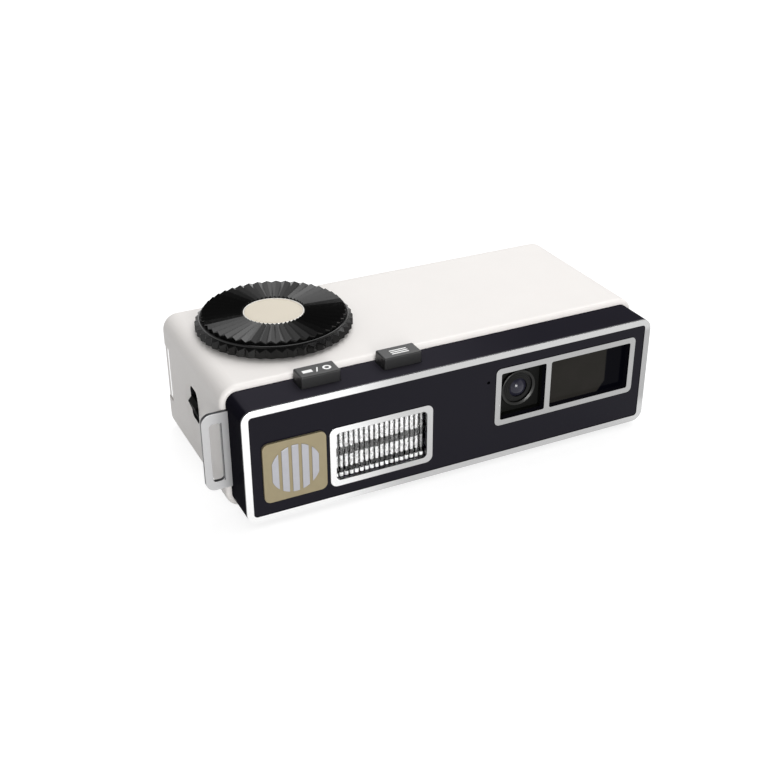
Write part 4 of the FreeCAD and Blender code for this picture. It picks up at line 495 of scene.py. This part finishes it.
badge_champagne = Finish("badge_champagne", {"Metallic": 0.35, "Specular IOR Level": 0.4})
badge_grain = badge_champagne.grain(0.25, 2.0)
badge_champagne.vary("Base Color", badge_champagne.mixed(
    badge_champagne.grain(2.2, 4.0), CHAMPAGNE_SHADE, CHAMPAGNE))
badge_champagne.vary("Roughness", 0.42 + (badge_grain - 0.5) * 0.2)
badge_champagne.relief(badge_grain, 0.012)
emblem_silver = Finish("emblem_silver", {"Metallic": 0.45})
emblem_patches = emblem_silver.grain(1.6, 3.0)
emblem_silver.vary("Base Color", emblem_silver.mixed(emblem_patches, EMBLEM_SHADE, EMBLEM_SILVER))
emblem_silver.vary("Roughness", 0.36 + emblem_patches * 0.12)
emblem_silver.relief(emblem_silver.grain(0.2), 0.008)


def cut_away(form, place, way):
    """Cuts off what lies past a plane."""
    bmesh.ops.bisect_plane(form, geom=[*form.verts, *form.edges, *form.faces], dist=1e-5,
                           plane_co=place, plane_no=way, clear_outer=True)


badge_box = inset(BADGE_CENTRE * 2, -BADGE_SIDE / 2)
finished("badge_face", plate((badge_box, BADGE_CORNER), [], BADGE_REAR, BADGE_DEPTH, BADGE_EDGE),
         badge_champagne, "camera", "badge_champagne", "badge_plate")

emblem_form = bmesh.new()
for number in range(-2, 3):
    bar = bmesh.new()
    bmesh.ops.create_circle(bar, cap_ends=True, segments=EMBLEM_STEPS, radius=EMBLEM_RADIUS)
    for side in (-1, 1):
        cut_away(bar, (number * EMBLEM_PITCH + side * EMBLEM_BAR / 2, 0, 0), (side, 0, 0))
    bmesh.ops.remove_doubles(bar, verts=bar.verts, dist=SHORTEST_SIDE)
    bmesh.ops.rotate(bar, matrix=Matrix.Rotation(math.pi / 2, 3, "X"), verts=bar.verts)
    top = thicken(bar, (0, -EMBLEM_DEPTH, 0))
    edges = [e for e in bar.edges if e.verts[0] in top and e.verts[1] in top]
    bmesh.ops.bevel(bar, geom=edges, affect="EDGES", offset=EMBLEM_EDGE, segments=2, profile=0.5,
                    material=-1)
    bmesh.ops.translate(bar, vec=(BADGE_CENTRE[0], BADGE_REAR - BADGE_DEPTH, BADGE_CENTRE[1]),
                        verts=bar.verts)
    join_in(emblem_form, bar)
finished("badge_bars", emblem_form, emblem_silver, "camera", "emblem_silver", "badge_emblem")

# ---------------------------------------------------------------------------------------------
# The flash
# A clear front plate with upright ribs moulded behind it, over a bright trough with a gas tube in
# it. The ribs' colour is painted light and shade: white stripes of painted light from the trough,
# painted shade in a band where the tube lies, in a low band and at the right end, and a painted
# reflection along the foot.
# ---------------------------------------------------------------------------------------------
RIB_COUNT = 18
RIB_FRONT = -30.05
RIB_DEPTH = 0.5
RIB_SHARE = 0.8
RIB_PLACE = 0.45
RIB_STEPS = 20
LENS_FRONT = -31.19
LENS_SHEET = 0.7
LENS_EDGE = 0.1
LENS_GAP = 0.05
TROUGH_PAINTED_LIGHT = (0.93, 0.93, 0.93)
RIB_PAINTED_SHADE = (0.035, 0.035, 0.036)
# where a rib carries painted light, as shares of its width, and where the painted bands across the
# ribs begin and end
RIB_BRIGHT_FROM = (0.02, 0.12)
RIB_BRIGHT_TO = (0.72, 0.9)
TUBE_UP = 13.4
TUBE_EDGE = (1.15, 0.85)
LOW_BAND_UP = 8.5
LOW_BAND_EDGE = (0.8, 0.62)
FOOT_EDGE = (7.95, 7.75)
END_EDGE = (-10.9, -9.7)

flash_clear = Finish("clear_acrylic", {
    "Base Color": (1, 1, 1, 1), "Transmission Weight": 1.0, "IOR": 1.06})
flash_clear.vary("Roughness", 0.01 + flash_clear.grain(0.6, 2.0) * 0.02)
lens_sheet = plate((inset(FLASH_WINDOW, LENS_GAP), FLASH_WINDOW_CORNER), [],
                   LENS_FRONT + LENS_SHEET, LENS_SHEET, LENS_EDGE)
finished("flash_lens_plate", lens_sheet, flash_clear, "camera", "clear_acrylic", "flash_lens")

rib_finish = Finish("flash_ribs")
rib_step = (FLASH_WINDOW[2] - FLASH_WINDOW[0]) / RIB_COUNT
rib_up = rib_finish.across("Z")
rib_side = rib_finish.across("X")
rib_phase = ((rib_side - FLASH_WINDOW[0]) % rib_step) / rib_step
# painted light of the lit trough, as a bright stripe on each rib
bright = (rib_finish.between(rib_phase, *RIB_BRIGHT_FROM)
          * (1 - rib_finish.between(rib_phase, *RIB_BRIGHT_TO)))
wobble = (rib_finish.grain(1.1, 3.0, (1, 1, 0.35)) - 0.5) * 0.9
# painted shade: a wavy band where the tube lies, a low band, and the right end
tube_painted_shade = rib_finish.between(abs(rib_up - TUBE_UP + wobble), *TUBE_EDGE)
low_painted_shade = rib_finish.between(abs(rib_up - LOW_BAND_UP + wobble * 0.2), *LOW_BAND_EDGE)
foot = rib_finish.between(rib_up, *FOOT_EDGE)
end_shade = rib_finish.between(rib_side, *END_EDGE)
dark = (tube_painted_shade * 0.86).at_least(low_painted_shade * 0.95).at_least(end_shade * 0.6)
speckle = rib_finish.between(rib_finish.grain(0.42, 3.0, (1, 1, 0.5)), 0.35, 0.6)
# painted reflection along the foot of the ribs, kept bright under the low band
light = (bright * (1 - dark) * (0.62 + 0.38 * speckle)).at_least(foot * bright)
rib_finish.vary("Metallic", 0.9 - foot * 0.9)
rib_finish.vary("Base Color", rib_finish.mixed(light, RIB_PAINTED_SHADE, TROUGH_PAINTED_LIGHT))
rib_finish.vary("Roughness", 0.2 + speckle * 0.1)
rib_form = bmesh.new()
for number in range(RIB_COUNT):
    rib = bmesh.new()
    bmesh.ops.create_circle(rib, cap_ends=True, segments=RIB_STEPS, radius=rib_step * RIB_SHARE / 2)
    cut_away(rib, (0, 0, 0), (0, 1, 0))
    thicken(rib, (0, 0, FLASH_WINDOW[3] - FLASH_WINDOW[1]))
    bmesh.ops.translate(rib, vec=(FLASH_WINDOW[0] + rib_step * (number + RIB_PLACE),
                                  RIB_FRONT + RIB_DEPTH, FLASH_WINDOW[1]), verts=rib.verts)
    join_in(rib_form, rib)
finished("flash_ribs", rib_form, rib_finish, "camera", "clear_acrylic", sharp=50)

# ---------------------------------------------------------------------------------------------
# The dial
# A thick black wheel of glossy plastic: pleats run from its middle to a rounded lip, and its
# edge is cut into teeth for the thumb. It turns on the body's top.
# ---------------------------------------------------------------------------------------------
DIAL_CENTRE = (-31.7, 2.16, 0.0)
TOOTH_COUNT = 46
DIAL_STEPS = (
    # radius and height at a ridge, then at a valley
    (5.3, 27.0, 5.3, 27.0), (8.6, 27.0, 8.6, 27.0), (8.6, 28.86, 8.6, 28.86),
    (9.5, 28.86, 9.5, 28.86), (9.5, 31.08, 9.5, 31.08), (17.7, 31.08, 17.4, 31.08),
    (18.45, 31.5, 17.85, 31.4), (18.45, 32.9, 17.6, 33.4), (18.38, 33.0, 17.5, 33.52),
    (17.42, 33.62, 17.42, 33.62), (17.4, 33.9, 17.4, 33.9), (17.33, 34.04, 17.33, 34.04),
    (17.2, 34.09, 17.2, 34.09), (17.07, 34.04, 17.07, 34.04), (17.0, 33.88, 17.0, 33.88),
    (16.6, 33.84, 16.6, 33.84), (16.56, 35.12, 16.93, 34.58), (7.5, 35.14, 7.5, 34.66),
    (7.42, 35.04, 7.42, 34.62), (7.42, 32.3, 7.42, 32.3), (5.3, 32.3, 5.3, 32.3),
    (5.3, 27.0, 5.3, 27.0))
DIAL_BLACK = (0.0035, 0.0035, 0.0035)
DIAL_SHADE = (0.003, 0.003, 0.003)

dial_black = moulded("dial_black", DIAL_BLACK, DIAL_SHADE, 0.15, 0.3, 0.002, {"IOR": 1.34})


def ringed(form, steps, count):
    """Rings of points, drawn outwards one from the other, with every second point at a valley."""
    turn = 2 * math.pi / count
    ring = bmesh.ops.create_circle(form, segments=count, radius=1.0)["verts"]
    for number, (ridge, ridge_up, valley, valley_up) in enumerate(steps):
        if number:
            edges = {e for v in ring for e in v.link_edges
                     if e.verts[0] in ring and e.verts[1] in ring}
            grown = bmesh.ops.extrude_edge_only(form, edges=list(edges))["geom"]
            ring = [v for v in grown if isinstance(v, bmesh.types.BMVert)]
        for point in ring:
            angle = math.atan2(point.co.y, point.co.x)
            low = round(angle / turn) % 2 == 0
            radius = valley if low else ridge
            point.co = (radius * math.cos(angle), radius * math.sin(angle),
                        valley_up if low else ridge_up)
    return form


wheel_form = ringed(bmesh.new(), DIAL_STEPS, 2 * TOOTH_COUNT)
bmesh.ops.translate(wheel_form, vec=DIAL_CENTRE, verts=wheel_form.verts)
finished("dial_pleated_wheel", wheel_form, dial_black, "dial", "dial_black", "dial_wheel")

# ---------------------------------------------------------------------------------------------
# The shutter button
# A round cap in the middle of the dial that presses down: its rim is pale plated metal and its
# face a cream inlay.
# ---------------------------------------------------------------------------------------------
# radius and height along each piece's section
CAP_PROFILE = (
    (0, 25.2), (2.6, 25.2), (2.6, 34.38), (4.4, 34.38), (4.4, 33.35), (7.05, 33.35), (7.2, 33.5),
    (7.2, 34.56), (7.14, 34.7), (7.04, 34.75), (6.9, 34.75), (6.84, 34.7), (6.84, 34.48),
    (0, 34.48))
INLAY_PROFILE = (
    (0, 34.49), (6.8, 34.49), (6.8, 34.62), (6.74, 34.68), (6.42, 34.69), (6.37, 34.66),
    (6.3, 34.66), (6.25, 34.69), (0, 34.7))
SPIN_STEPS = 96
CREAM = (0.66, 0.60, 0.49)
CREAM_SHADE = (0.63, 0.57, 0.465)
RIM_PALE = (0.84, 0.82, 0.77)
RIM_PALE_SHADE = (0.8, 0.78, 0.73)


def spun(profile, centre):
    """A turned shape: a line of radius and height pairs swept round an upright axis."""
    form = bmesh.new()
    line = [form.verts.new((radius, 0, height)) for radius, height in profile]
    edges = [form.edges.new(pair) for pair in zip(line, line[1:])]
    bmesh.ops.spin(form, geom=line + edges, cent=(0, 0, 0), axis=(0, 0, 1), angle=2 * math.pi,
                   steps=SPIN_STEPS, use_merge=True)
    bmesh.ops.remove_doubles(form, verts=form.verts, dist=0.0005)
    bmesh.ops.translate(form, vec=centre, verts=form.verts)
    return form


button_rim = moulded("button_rim", RIM_PALE, RIM_PALE_SHADE, 0.3, 0.3, 0.003, {"Metallic": 0.2})
button_cream = moulded("button_cream", CREAM, CREAM_SHADE, 0.35, 0.3, 0.004)
finished("shutter_cap_rim", spun(CAP_PROFILE, DIAL_CENTRE), button_rim, "shutter_cap",
         "button_rim", "shutter_button", sharp=25)
finished("shutter_cap_inlay", spun(INLAY_PROFILE, DIAL_CENTRE), button_cream, "shutter_cap",
         "button_cream", "shutter_inlay")

# ---------------------------------------------------------------------------------------------
# The two keys on the block
# Blocks of dark satin plastic that stand through the top of the front block and press down on
# switches. Their marks are printed in white: bars on one, two small signs on the other.
# ---------------------------------------------------------------------------------------------
KEY_DARK = (0.013, 0.013, 0.0135)
KEY_SHADE = (0.0105, 0.0105, 0.011)
MARK_WHITE = (0.85, 0.85, 0.84)
MODE_KEY_ACROSS = -32.35
MENU_KEY_ACROSS = -12.5
KEY_MIDDLE_BACK = -24.85
KEY_FACE_UP = 32.17
BAR_HALF = (2.1, 0.2)
BAR_PITCH = 0.78
SIGN_STEP = 2.3
FILM_HALF = (1.15, 0.6)
SLASH_HALF = (0.16, 0.95)
SLASH_LEAN = 0.4
RING_MIDDLE = 0.75
RING_HALF = 0.24

key_dark = moulded("key_dark", KEY_DARK, KEY_SHADE, 0.42, 0.2, 0.01)
menu_side = key_dark.across("X") - MENU_KEY_ACROSS
mode_side = key_dark.across("X") - MODE_KEY_ACROSS
key_along = key_dark.across("Y") - KEY_MIDDLE_BACK
nearest_bar = abs(abs(key_along) - BAR_PITCH * (abs(key_along) > BAR_PITCH / 2))
bars = (abs(menu_side) < BAR_HALF[0]) * (nearest_bar < BAR_HALF[1])
film = (abs(mode_side + SIGN_STEP) < FILM_HALF[0]) * (abs(key_along) < FILM_HALF[1])
slash = ((abs(mode_side - key_along * SLASH_LEAN) < SLASH_HALF[0])
         * (abs(key_along) < SLASH_HALF[1]))
ring_out = ((mode_side - SIGN_STEP) ** 2 + key_along ** 2) ** 0.5
ring = abs(ring_out - RING_MIDDLE) < RING_HALF
key_dark.marked((key_dark.across("Z") > KEY_FACE_UP) * (bars + film + slash + ring).at_most(1.0),
                MARK_WHITE)
key_dark.wear("mode_button", "menu_button")

# ---------------------------------------------------------------------------------------------
# The strap lug
# A flat loop of thick plated sheet, punched with an upright slot for the strap. Its inner end
# is screwed down between the body and the front block.
# ---------------------------------------------------------------------------------------------
LUG_BOX = (-58.5, 6.7, -46.5, 25.75)
LUG_CORNER = 2.2
LUG_SLOT = (-56.8, 8.8, -54.15, 23.3)
LUG_SLOT_CORNER = 0.8
LUG_REAR = -21.75
LUG_DEPTH = 1.0
LUG_EDGE = 0.12
LUG_METALLIC = 0.45
LUG_PLATED = (0.53, 0.53, 0.535)
LUG_SHADE = (0.49, 0.49, 0.5)
# painted shade where the sheet was cut: behind its soft edge, and on the slot's wall towards the
# body
LUG_PAINTED_SHADE = (0.03, 0.03, 0.035)
LUG_CUT_BACK = (0.09, 0.16)
LUG_WALL_SHADE = (0.02, 0.1)

lug_plating = plated("lug_plating", LUG_PLATED, LUG_SHADE, 0.34, (1, 1, 0.3), LUG_METALLIC)
lug_back = lug_plating.across("Y")
lug_side_shade = lug_plating.between(lug_back, *(LUG_REAR - LUG_DEPTH + back for back in LUG_CUT_BACK))
lug_up = abs(lug_plating.across("Z") - (LUG_SLOT[1] + LUG_SLOT[3]) / 2)
lug_wall_shade = ((abs(lug_plating.across("X") - LUG_SLOT[2] - LUG_WALL_SHADE[0]) < LUG_WALL_SHADE[1])
            * (lug_up < (LUG_SLOT[3] - LUG_SLOT[1]) / 2))
# painted shade laid over the plating on the cut sides and the slot's wall
lug_plating.vary("Base Color", lug_plating.mixed(lug_side_shade.at_least(lug_wall_shade), LUG_PLATED, LUG_PAINTED_SHADE))
lug_form = plate((LUG_BOX, LUG_CORNER), [(LUG_SLOT, LUG_SLOT_CORNER)], LUG_REAR, LUG_DEPTH,
                 LUG_EDGE)
finished("strap_lug_plate", lug_form, lug_plating, "camera", "lug_plating", "strap_lug")

# ---------------------------------------------------------------------------------------------
# The slider at the left and its switch
# A ribbed wedge of dark plastic that slides up in the slot of the thumb scoop. It carries the
# lever of a small black switch, soldered upright behind the wall.
# ---------------------------------------------------------------------------------------------
slider_dark = moulded("slider_dark", (0.006, 0.006, 0.006), (0.0045, 0.0045, 0.0045), 0.4,
                      constants={"IOR": 1.08})
slider_dark.wear("power_slider")
switch_black = moulded("switch_black", (0.01, 0.01, 0.01), (0.008, 0.008, 0.008), 0.4)
switch_black.wear("power_switch")

# ---------------------------------------------------------------------------------------------
# The front of the lens
# A black turned barrel stands in a black well, stepped down towards a small domed front glass
# with a bluish coating. A dark ring with a bevelled inner edge closes the barrel.
# ---------------------------------------------------------------------------------------------
LENS_MIDDLE = (16.865, 0.0, 17.78)
# radius and place along Y
BARREL_PROFILE = (
    (2.95, -18.04), (4.3, -18.04), (4.3, -28.08), (4.56, -28.1), (4.6, -28.2), (4.6, -28.7),
    (3.86, -28.68), (3.82, -28.74), (3.5, -28.76), (3.46, -28.84), (3.1, -28.86), (3.06, -28.94),
    (2.7, -28.96), (2.66, -29.04), (2.4, -29.06), (2.36, -28.4), (2.95, -28.3), (2.95, -18.04))
RING_PROFILE = (
    (3.88, -28.7), (4.62, -28.7), (4.68, -28.8), (4.66, -29.2), (4.6, -29.3), (4.5, -29.34),
    (4.42, -29.32), (3.92, -29.08), (3.88, -29.0), (3.88, -28.7))
DOME_RADIUS = 2.9
DOME_TIP = -29.95
DOME_SIDE = 2.34
DOME_FOOT = -28.45
DOME_STEPS = 14
BARREL_BLACK = (0.0035, 0.0035, 0.0032)
BARREL_SHADE = (0.003, 0.003, 0.0028)
RING_BLACK = (0.036, 0.036, 0.035)
RING_SHADE = (0.030, 0.030, 0.029)
GLASS_DEEP = (0.010, 0.010, 0.019)
GLASS_PALE = (0.028, 0.027, 0.042)
WELL_BLACK = (0.0085, 0.0088, 0.0082)
WELL_SHADE = (0.006, 0.0062, 0.0056)


def turned_forward(profile, middle):
    """A turned shape whose axis points to the front; its heights are places along Y."""
    form = spun(profile, (0, 0, 0))
    bmesh.ops.rotate(form, matrix=Matrix.Rotation(-math.pi / 2, 3, "X"), verts=form.verts)
    bmesh.ops.translate(form, vec=middle, verts=form.verts)
    return form


black_moulding = moulded("black_moulding", WELL_BLACK, WELL_SHADE, 0.5,
                         constants={"Specular IOR Level": 0.08})
black_moulding.wear("lens_well", "lens_holder", "viewfinder_tunnel", "shutter_guide",
                    "battery_tray")
barrel_black = moulded("barrel_black", BARREL_BLACK, BARREL_SHADE, 0.35,
                       constants={"Specular IOR Level": 0.18})
finished("lens_front_barrel", turned_forward(BARREL_PROFILE, LENS_MIDDLE), barrel_black, "camera",
         "barrel_black", "lens_barrel")
ring_black = plated("lens_ring_black", RING_BLACK, RING_SHADE, 0.33)
finished("lens_front_ring", turned_forward(RING_PROFILE, LENS_MIDDLE), ring_black, "camera",
         "barrel_black", sharp=25)

coated_glass = Finish("coated_glass", {"IOR": 1.38})
coat_patch = coated_glass.grain(1.5)
coated_glass.vary("Base Color", coated_glass.mixed(coat_patch, GLASS_DEEP, GLASS_PALE))
coated_glass.vary("Roughness", 0.05 + coat_patch * 0.03)
coated_glass.wear("lens_elements")
dome_profile = [(radius, DOME_TIP + DOME_RADIUS - math.sqrt(DOME_RADIUS ** 2 - radius ** 2))
                for radius in (DOME_SIDE * step / DOME_STEPS for step in range(DOME_STEPS + 1))]
dome_profile += [(DOME_SIDE, DOME_FOOT), (0, DOME_FOOT)]
finished("lens_front_dome", turned_forward(dome_profile, LENS_MIDDLE), coated_glass, "camera",
         "coated_glass")

# ---------------------------------------------------------------------------------------------
# The image sensor behind the lens
# A glass-faced chip on a small green board, which is screwed to the back of the lens holder.
# The same green lacquer covers the other boards.
# ---------------------------------------------------------------------------------------------
sensor_face = moulded("sensor_face", (0.03, 0.05, 0.06), (0.04, 0.03, 0.05), 0.15)
sensor_face.wear("sensor_chip")
board_green = moulded("board_green", (0.01, 0.08, 0.035), (0.008, 0.06, 0.028), 0.35, 0.6, 0.02)
board_green.wear("sensor_board", "front_key_board", "dial_board", "main_board")

# ---------------------------------------------------------------------------------------------
# The viewfinder
# A pane of smoked glass lies in the right window, over a black tunnel through the camera with a
# clear lens at its front and another at its rear. Painted shade darkens the pane's right side and a
# slanted lower corner.
# ---------------------------------------------------------------------------------------------
PANE_AMBER = (0.026, 0.0235, 0.0215)
PANE_OLIVE = (0.0165, 0.016, 0.0135)
PANE_PAINTED_SHADE = (0.0015, 0.0015, 0.003)
# where painted shade darkens the pane along X, and the slanted lower corner of that shade
PANE_SHADE_EDGE = (41.0, 41.5)
PANE_SHADE_CORNER_UP = 14.2
PANE_SHADE_SLANT = 0.8

smoked_glass = Finish("smoked_glass", {"IOR": 1.09})
corner_drop = (PANE_SHADE_CORNER_UP - smoked_glass.across("Z")).at_least(0.0)
pane_side = smoked_glass.across("X") + corner_drop * PANE_SHADE_SLANT
# painted shade over the pane's right side and its slanted lower corner
pane_painted_shade = smoked_glass.between(pane_side, *PANE_SHADE_EDGE)
amber = smoked_glass.mixed(smoked_glass.grain(7.0, 3.0), PANE_AMBER, PANE_OLIVE)
smoked_glass.vary("Base Color", smoked_glass.mixed(pane_painted_shade, amber, PANE_PAINTED_SHADE))
smoked_glass.vary("Roughness", 0.08 + smoked_glass.grain(1.0) * 0.03)
smoked_glass.wear("viewfinder_window")
clear_optics = Finish("clear_optics", {"Transmission Weight": 1.0, "IOR": 1.49})
clear_optics.vary("Roughness", 0.02 + clear_optics.grain(1.0) * 0.02)
clear_optics.wear("viewfinder_objective", "viewfinder_eyepiece")

# ---------------------------------------------------------------------------------------------
# The flash's lamp and its store
# A gas tube of clear glass lies along a trough of polished sheet. The capacitor that feeds it
# is a can in a dark blue sleeve, clipped into the body's floor.
# ---------------------------------------------------------------------------------------------
reflector_bright = plated("reflector_bright", (0.9, 0.9, 0.9), (0.85, 0.85, 0.85), 0.15)
reflector_bright.wear("flash_reflector")
tube_glass = Finish("tube_glass", {"Transmission Weight": 0.6, "IOR": 1.47})
tube_glass.vary("Roughness", 0.05 + tube_glass.grain(1.0) * 0.05)
tube_glass.wear("flash_tube")
capacitor_sleeve = moulded("capacitor_sleeve", (0.01, 0.012, 0.02), (0.008, 0.01, 0.016), 0.3)
capacitor_sleeve.wear("flash_capacitor")

# ---------------------------------------------------------------------------------------------
# The microphone
# A small metal capsule pressed into the block behind a pin hole beside the lens.
# ---------------------------------------------------------------------------------------------
capsule_metal = plated("capsule_metal", (0.6, 0.58, 0.5), (0.5, 0.48, 0.4), 0.35)
capsule_metal.wear("microphone")

# ---------------------------------------------------------------------------------------------
# The push switches, springs, pins and small screws
# Stamped and drawn steel: the switches are soldered to the boards, a ring and a leaf spring
# hold the dial, a coil spring lifts the button, and pins carry the cover and the door.
# ---------------------------------------------------------------------------------------------
switch_metal = plated("switch_metal", (0.6, 0.6, 0.6), (0.5, 0.5, 0.5), 0.35)
switch_metal.wear("tact_switches")
steel = plated("steel", (0.6, 0.6, 0.61), (0.5, 0.5, 0.51), 0.3)
steel.wear("dial_retainer", "detent_spring", "shutter_spring", "port_pin", "battery_door_pin",
           "board_screws")

# ---------------------------------------------------------------------------------------------
# The cover of the side socket
# A curved leaf of the body's own white plastic, turning on a pin at its foot. A strip of bright
# metal laid along its edge towards the front carries a painted highlight, and the steel socket sits
# behind it.
# ---------------------------------------------------------------------------------------------
COVER_LIP_BACK = 17.5
COVER_LIP_LOW = 10.0
LIP_PAINTED_HIGHLIGHT = (0.95, 0.95, 0.95)

cover_white = moulded("cover_white", BODY_WHITE, BODY_SHADE, 0.42)
# painted highlight: a bright metal strip along the front edge, above its foot
cover_highlight_strip = (cover_white.across("Y") < COVER_LIP_BACK) * (cover_white.across("Z") > COVER_LIP_LOW)
cover_white.marked(cover_highlight_strip, LIP_PAINTED_HIGHLIGHT)
cover_white.vary("Metallic", cover_highlight_strip)
cover_white.wear("port_cover")
socket_steel = plated("socket_steel", (0.62, 0.62, 0.63), (0.55, 0.55, 0.56), 0.28)
socket_steel.wear("usb_socket", "card_socket")

# ---------------------------------------------------------------------------------------------
# The rear cover and the case screws
# One inset plate of dark plastic with a fine spark-eroded skin closes the body at the rear.
# Blackened screws with crossed slots hold it, and the same screws hold the front block.
# ---------------------------------------------------------------------------------------------
REAR_DARK = (0.009, 0.009, 0.0105)
REAR_SHADE = (0.0065, 0.0065, 0.0078)
SCREW_BLACK = (0.09, 0.09, 0.095)
SCREW_SHADE = (0.07, 0.07, 0.075)
# painted shade for the crossed slots in the screw heads
CROSS_PAINTED_SHADE = (0.003, 0.003, 0.003)
SCREW_ACROSS = 49.48
SCREW_UPS = (4.3, 26.46)
CROSS_HALF = (0.85, 0.17)
SCREW_FACE = 21.3

rear_dark = moulded("rear_dark", REAR_DARK, REAR_SHADE, 0.5, 0.22, 0.03,
                    {"Specular IOR Level": 0.35})
rear_dark.wear("rear_cover")
screw_black = plated("screw_black", SCREW_BLACK, SCREW_SHADE, 0.32)
screw_side = abs(abs(screw_black.across("X")) - SCREW_ACROSS)
low_row, high_row = (abs(screw_black.across("Z") - up) for up in SCREW_UPS)
screw_up = low_row.at_most(high_row)
# painted shade fills the crossed slots on the screw heads' faces
cross_slot_shade = ((screw_side < CROSS_HALF[0]) * (screw_up < CROSS_HALF[1])
         + (screw_side < CROSS_HALF[1]) * (screw_up < CROSS_HALF[0])).at_most(1.0)
screw_black.vary("Base Color", screw_black.mixed(
    cross_slot_shade * (screw_black.across("Y") > SCREW_FACE), SCREW_BLACK, CROSS_PAINTED_SHADE))
screw_black.wear("case_screws")

# ---------------------------------------------------------------------------------------------
# The screen at the rear
# A sheet of dark glass, blackened on its back all round, lies flush in the rear cover. The
# display itself is a thin module behind it.
# ---------------------------------------------------------------------------------------------
SCREEN_MIDDLE = (1.0, 15.38)
SCREEN_LIT_HALF = (18.3, 9.5)
GLASS_BLACK = (0.0012, 0.0012, 0.0015)
DISPLAY_GREY = (0.011, 0.012, 0.015)
DISPLAY_SHADE = (0.009, 0.010, 0.013)

screen_glass = Finish("screen_glass", {"IOR": 1.3})
lit_side = abs(screen_glass.across("X") - SCREEN_MIDDLE[0])
lit_up = abs(screen_glass.across("Z") - SCREEN_MIDDLE[1])
lit = (lit_side < SCREEN_LIT_HALF[0]) * (lit_up < SCREEN_LIT_HALF[1])
display_tone = screen_glass.mixed(screen_glass.grain(12.0), DISPLAY_GREY, DISPLAY_SHADE)
screen_glass.vary("Base Color", screen_glass.mixed(lit, GLASS_BLACK, display_tone))
screen_glass.vary("Roughness", 0.06 + screen_glass.grain(0.8) * 0.03)
screen_glass.wear("lcd_window")
display_panel = moulded("display_panel", (0.02, 0.022, 0.028), (0.016, 0.018, 0.022), 0.3)
display_panel.wear("lcd_module")

# ---------------------------------------------------------------------------------------------
# The three keys at the rear
# Round pads of dark plastic beside the screen. Grey marks are printed on them: an arrow up, a
# ring and an arrow down.
# ---------------------------------------------------------------------------------------------
REAR_KEY = (0.020, 0.020, 0.022)
REAR_KEY_SHADE = (0.016, 0.016, 0.018)
REAR_KEY_ACROSS = -34.5
REAR_KEY_UPS = (22.38, 15.38, 8.38)
REAR_MARK = (0.35, 0.35, 0.35)
ARROW_HEIGHT = 1.5
ARROW_SPREAD = 1.3
REAR_RING = (1.05, 0.17)
REAR_KEY_FACE = 21.9

rear_key = moulded("rear_key", REAR_KEY, REAR_KEY_SHADE, 0.4)
rear_side = abs(rear_key.across("X") - REAR_KEY_ACROSS)
up_side, ok_side, down_side = (rear_key.across("Z") - up for up in REAR_KEY_UPS)
up_height = up_side + ARROW_HEIGHT / 2
down_height = ARROW_HEIGHT / 2 - down_side
arrows = ((up_height > 0.0) * (rear_side * ARROW_SPREAD + up_height < ARROW_HEIGHT)
          + (down_height > 0.0) * (rear_side * ARROW_SPREAD + down_height < ARROW_HEIGHT))
ok_ring = abs((rear_side ** 2 + ok_side ** 2) ** 0.5 - REAR_RING[0]) < REAR_RING[1]
rear_key.marked((arrows + ok_ring).at_most(1.0) * (rear_key.across("Y") > REAR_KEY_FACE),
                REAR_MARK)
rear_key.wear("up_button", "ok_button", "down_button")

# ---------------------------------------------------------------------------------------------
# The chips on the main board
# Black moulded packages soldered flat to the board.
# ---------------------------------------------------------------------------------------------
chip_black = moulded("chip_black", (0.012, 0.012, 0.013), (0.01, 0.01, 0.011), 0.5)
chip_black.wear("board_chips")

# ---------------------------------------------------------------------------------------------
# The battery and the memory card
# A flat pack in a grey shrunk sleeve slides into the tray from the door, against gilt springs.
# The card is black plastic and lies in a steel socket above it.
# ---------------------------------------------------------------------------------------------
contact_gold = plated("contact_gold", (0.9, 0.65, 0.28), (0.8, 0.56, 0.22), 0.25)
contact_gold.wear("battery_contacts")
battery_wrap = moulded("battery_wrap", (0.05, 0.055, 0.065), (0.04, 0.045, 0.055), 0.35)
battery_wrap.wear("battery_pack")
card_black = moulded("card_black", (0.015, 0.015, 0.016), (0.012, 0.012, 0.013), 0.4)
card_black.wear("memory_card")

# ---------------------------------------------------------------------------------------------
# The tripod nut and the speaker in the base
# A turned brass nut is pressed in from below, flush with the base. The speaker is a black can
# behind a group of small holes.
# ---------------------------------------------------------------------------------------------
brass = plated("brass", (0.78, 0.58, 0.3), (0.68, 0.5, 0.25), 0.3)
brass.wear("tripod_socket")
speaker_black = moulded("speaker_black", (0.01, 0.01, 0.01), (0.008, 0.008, 0.008), 0.5)
speaker_black.wear("speaker")
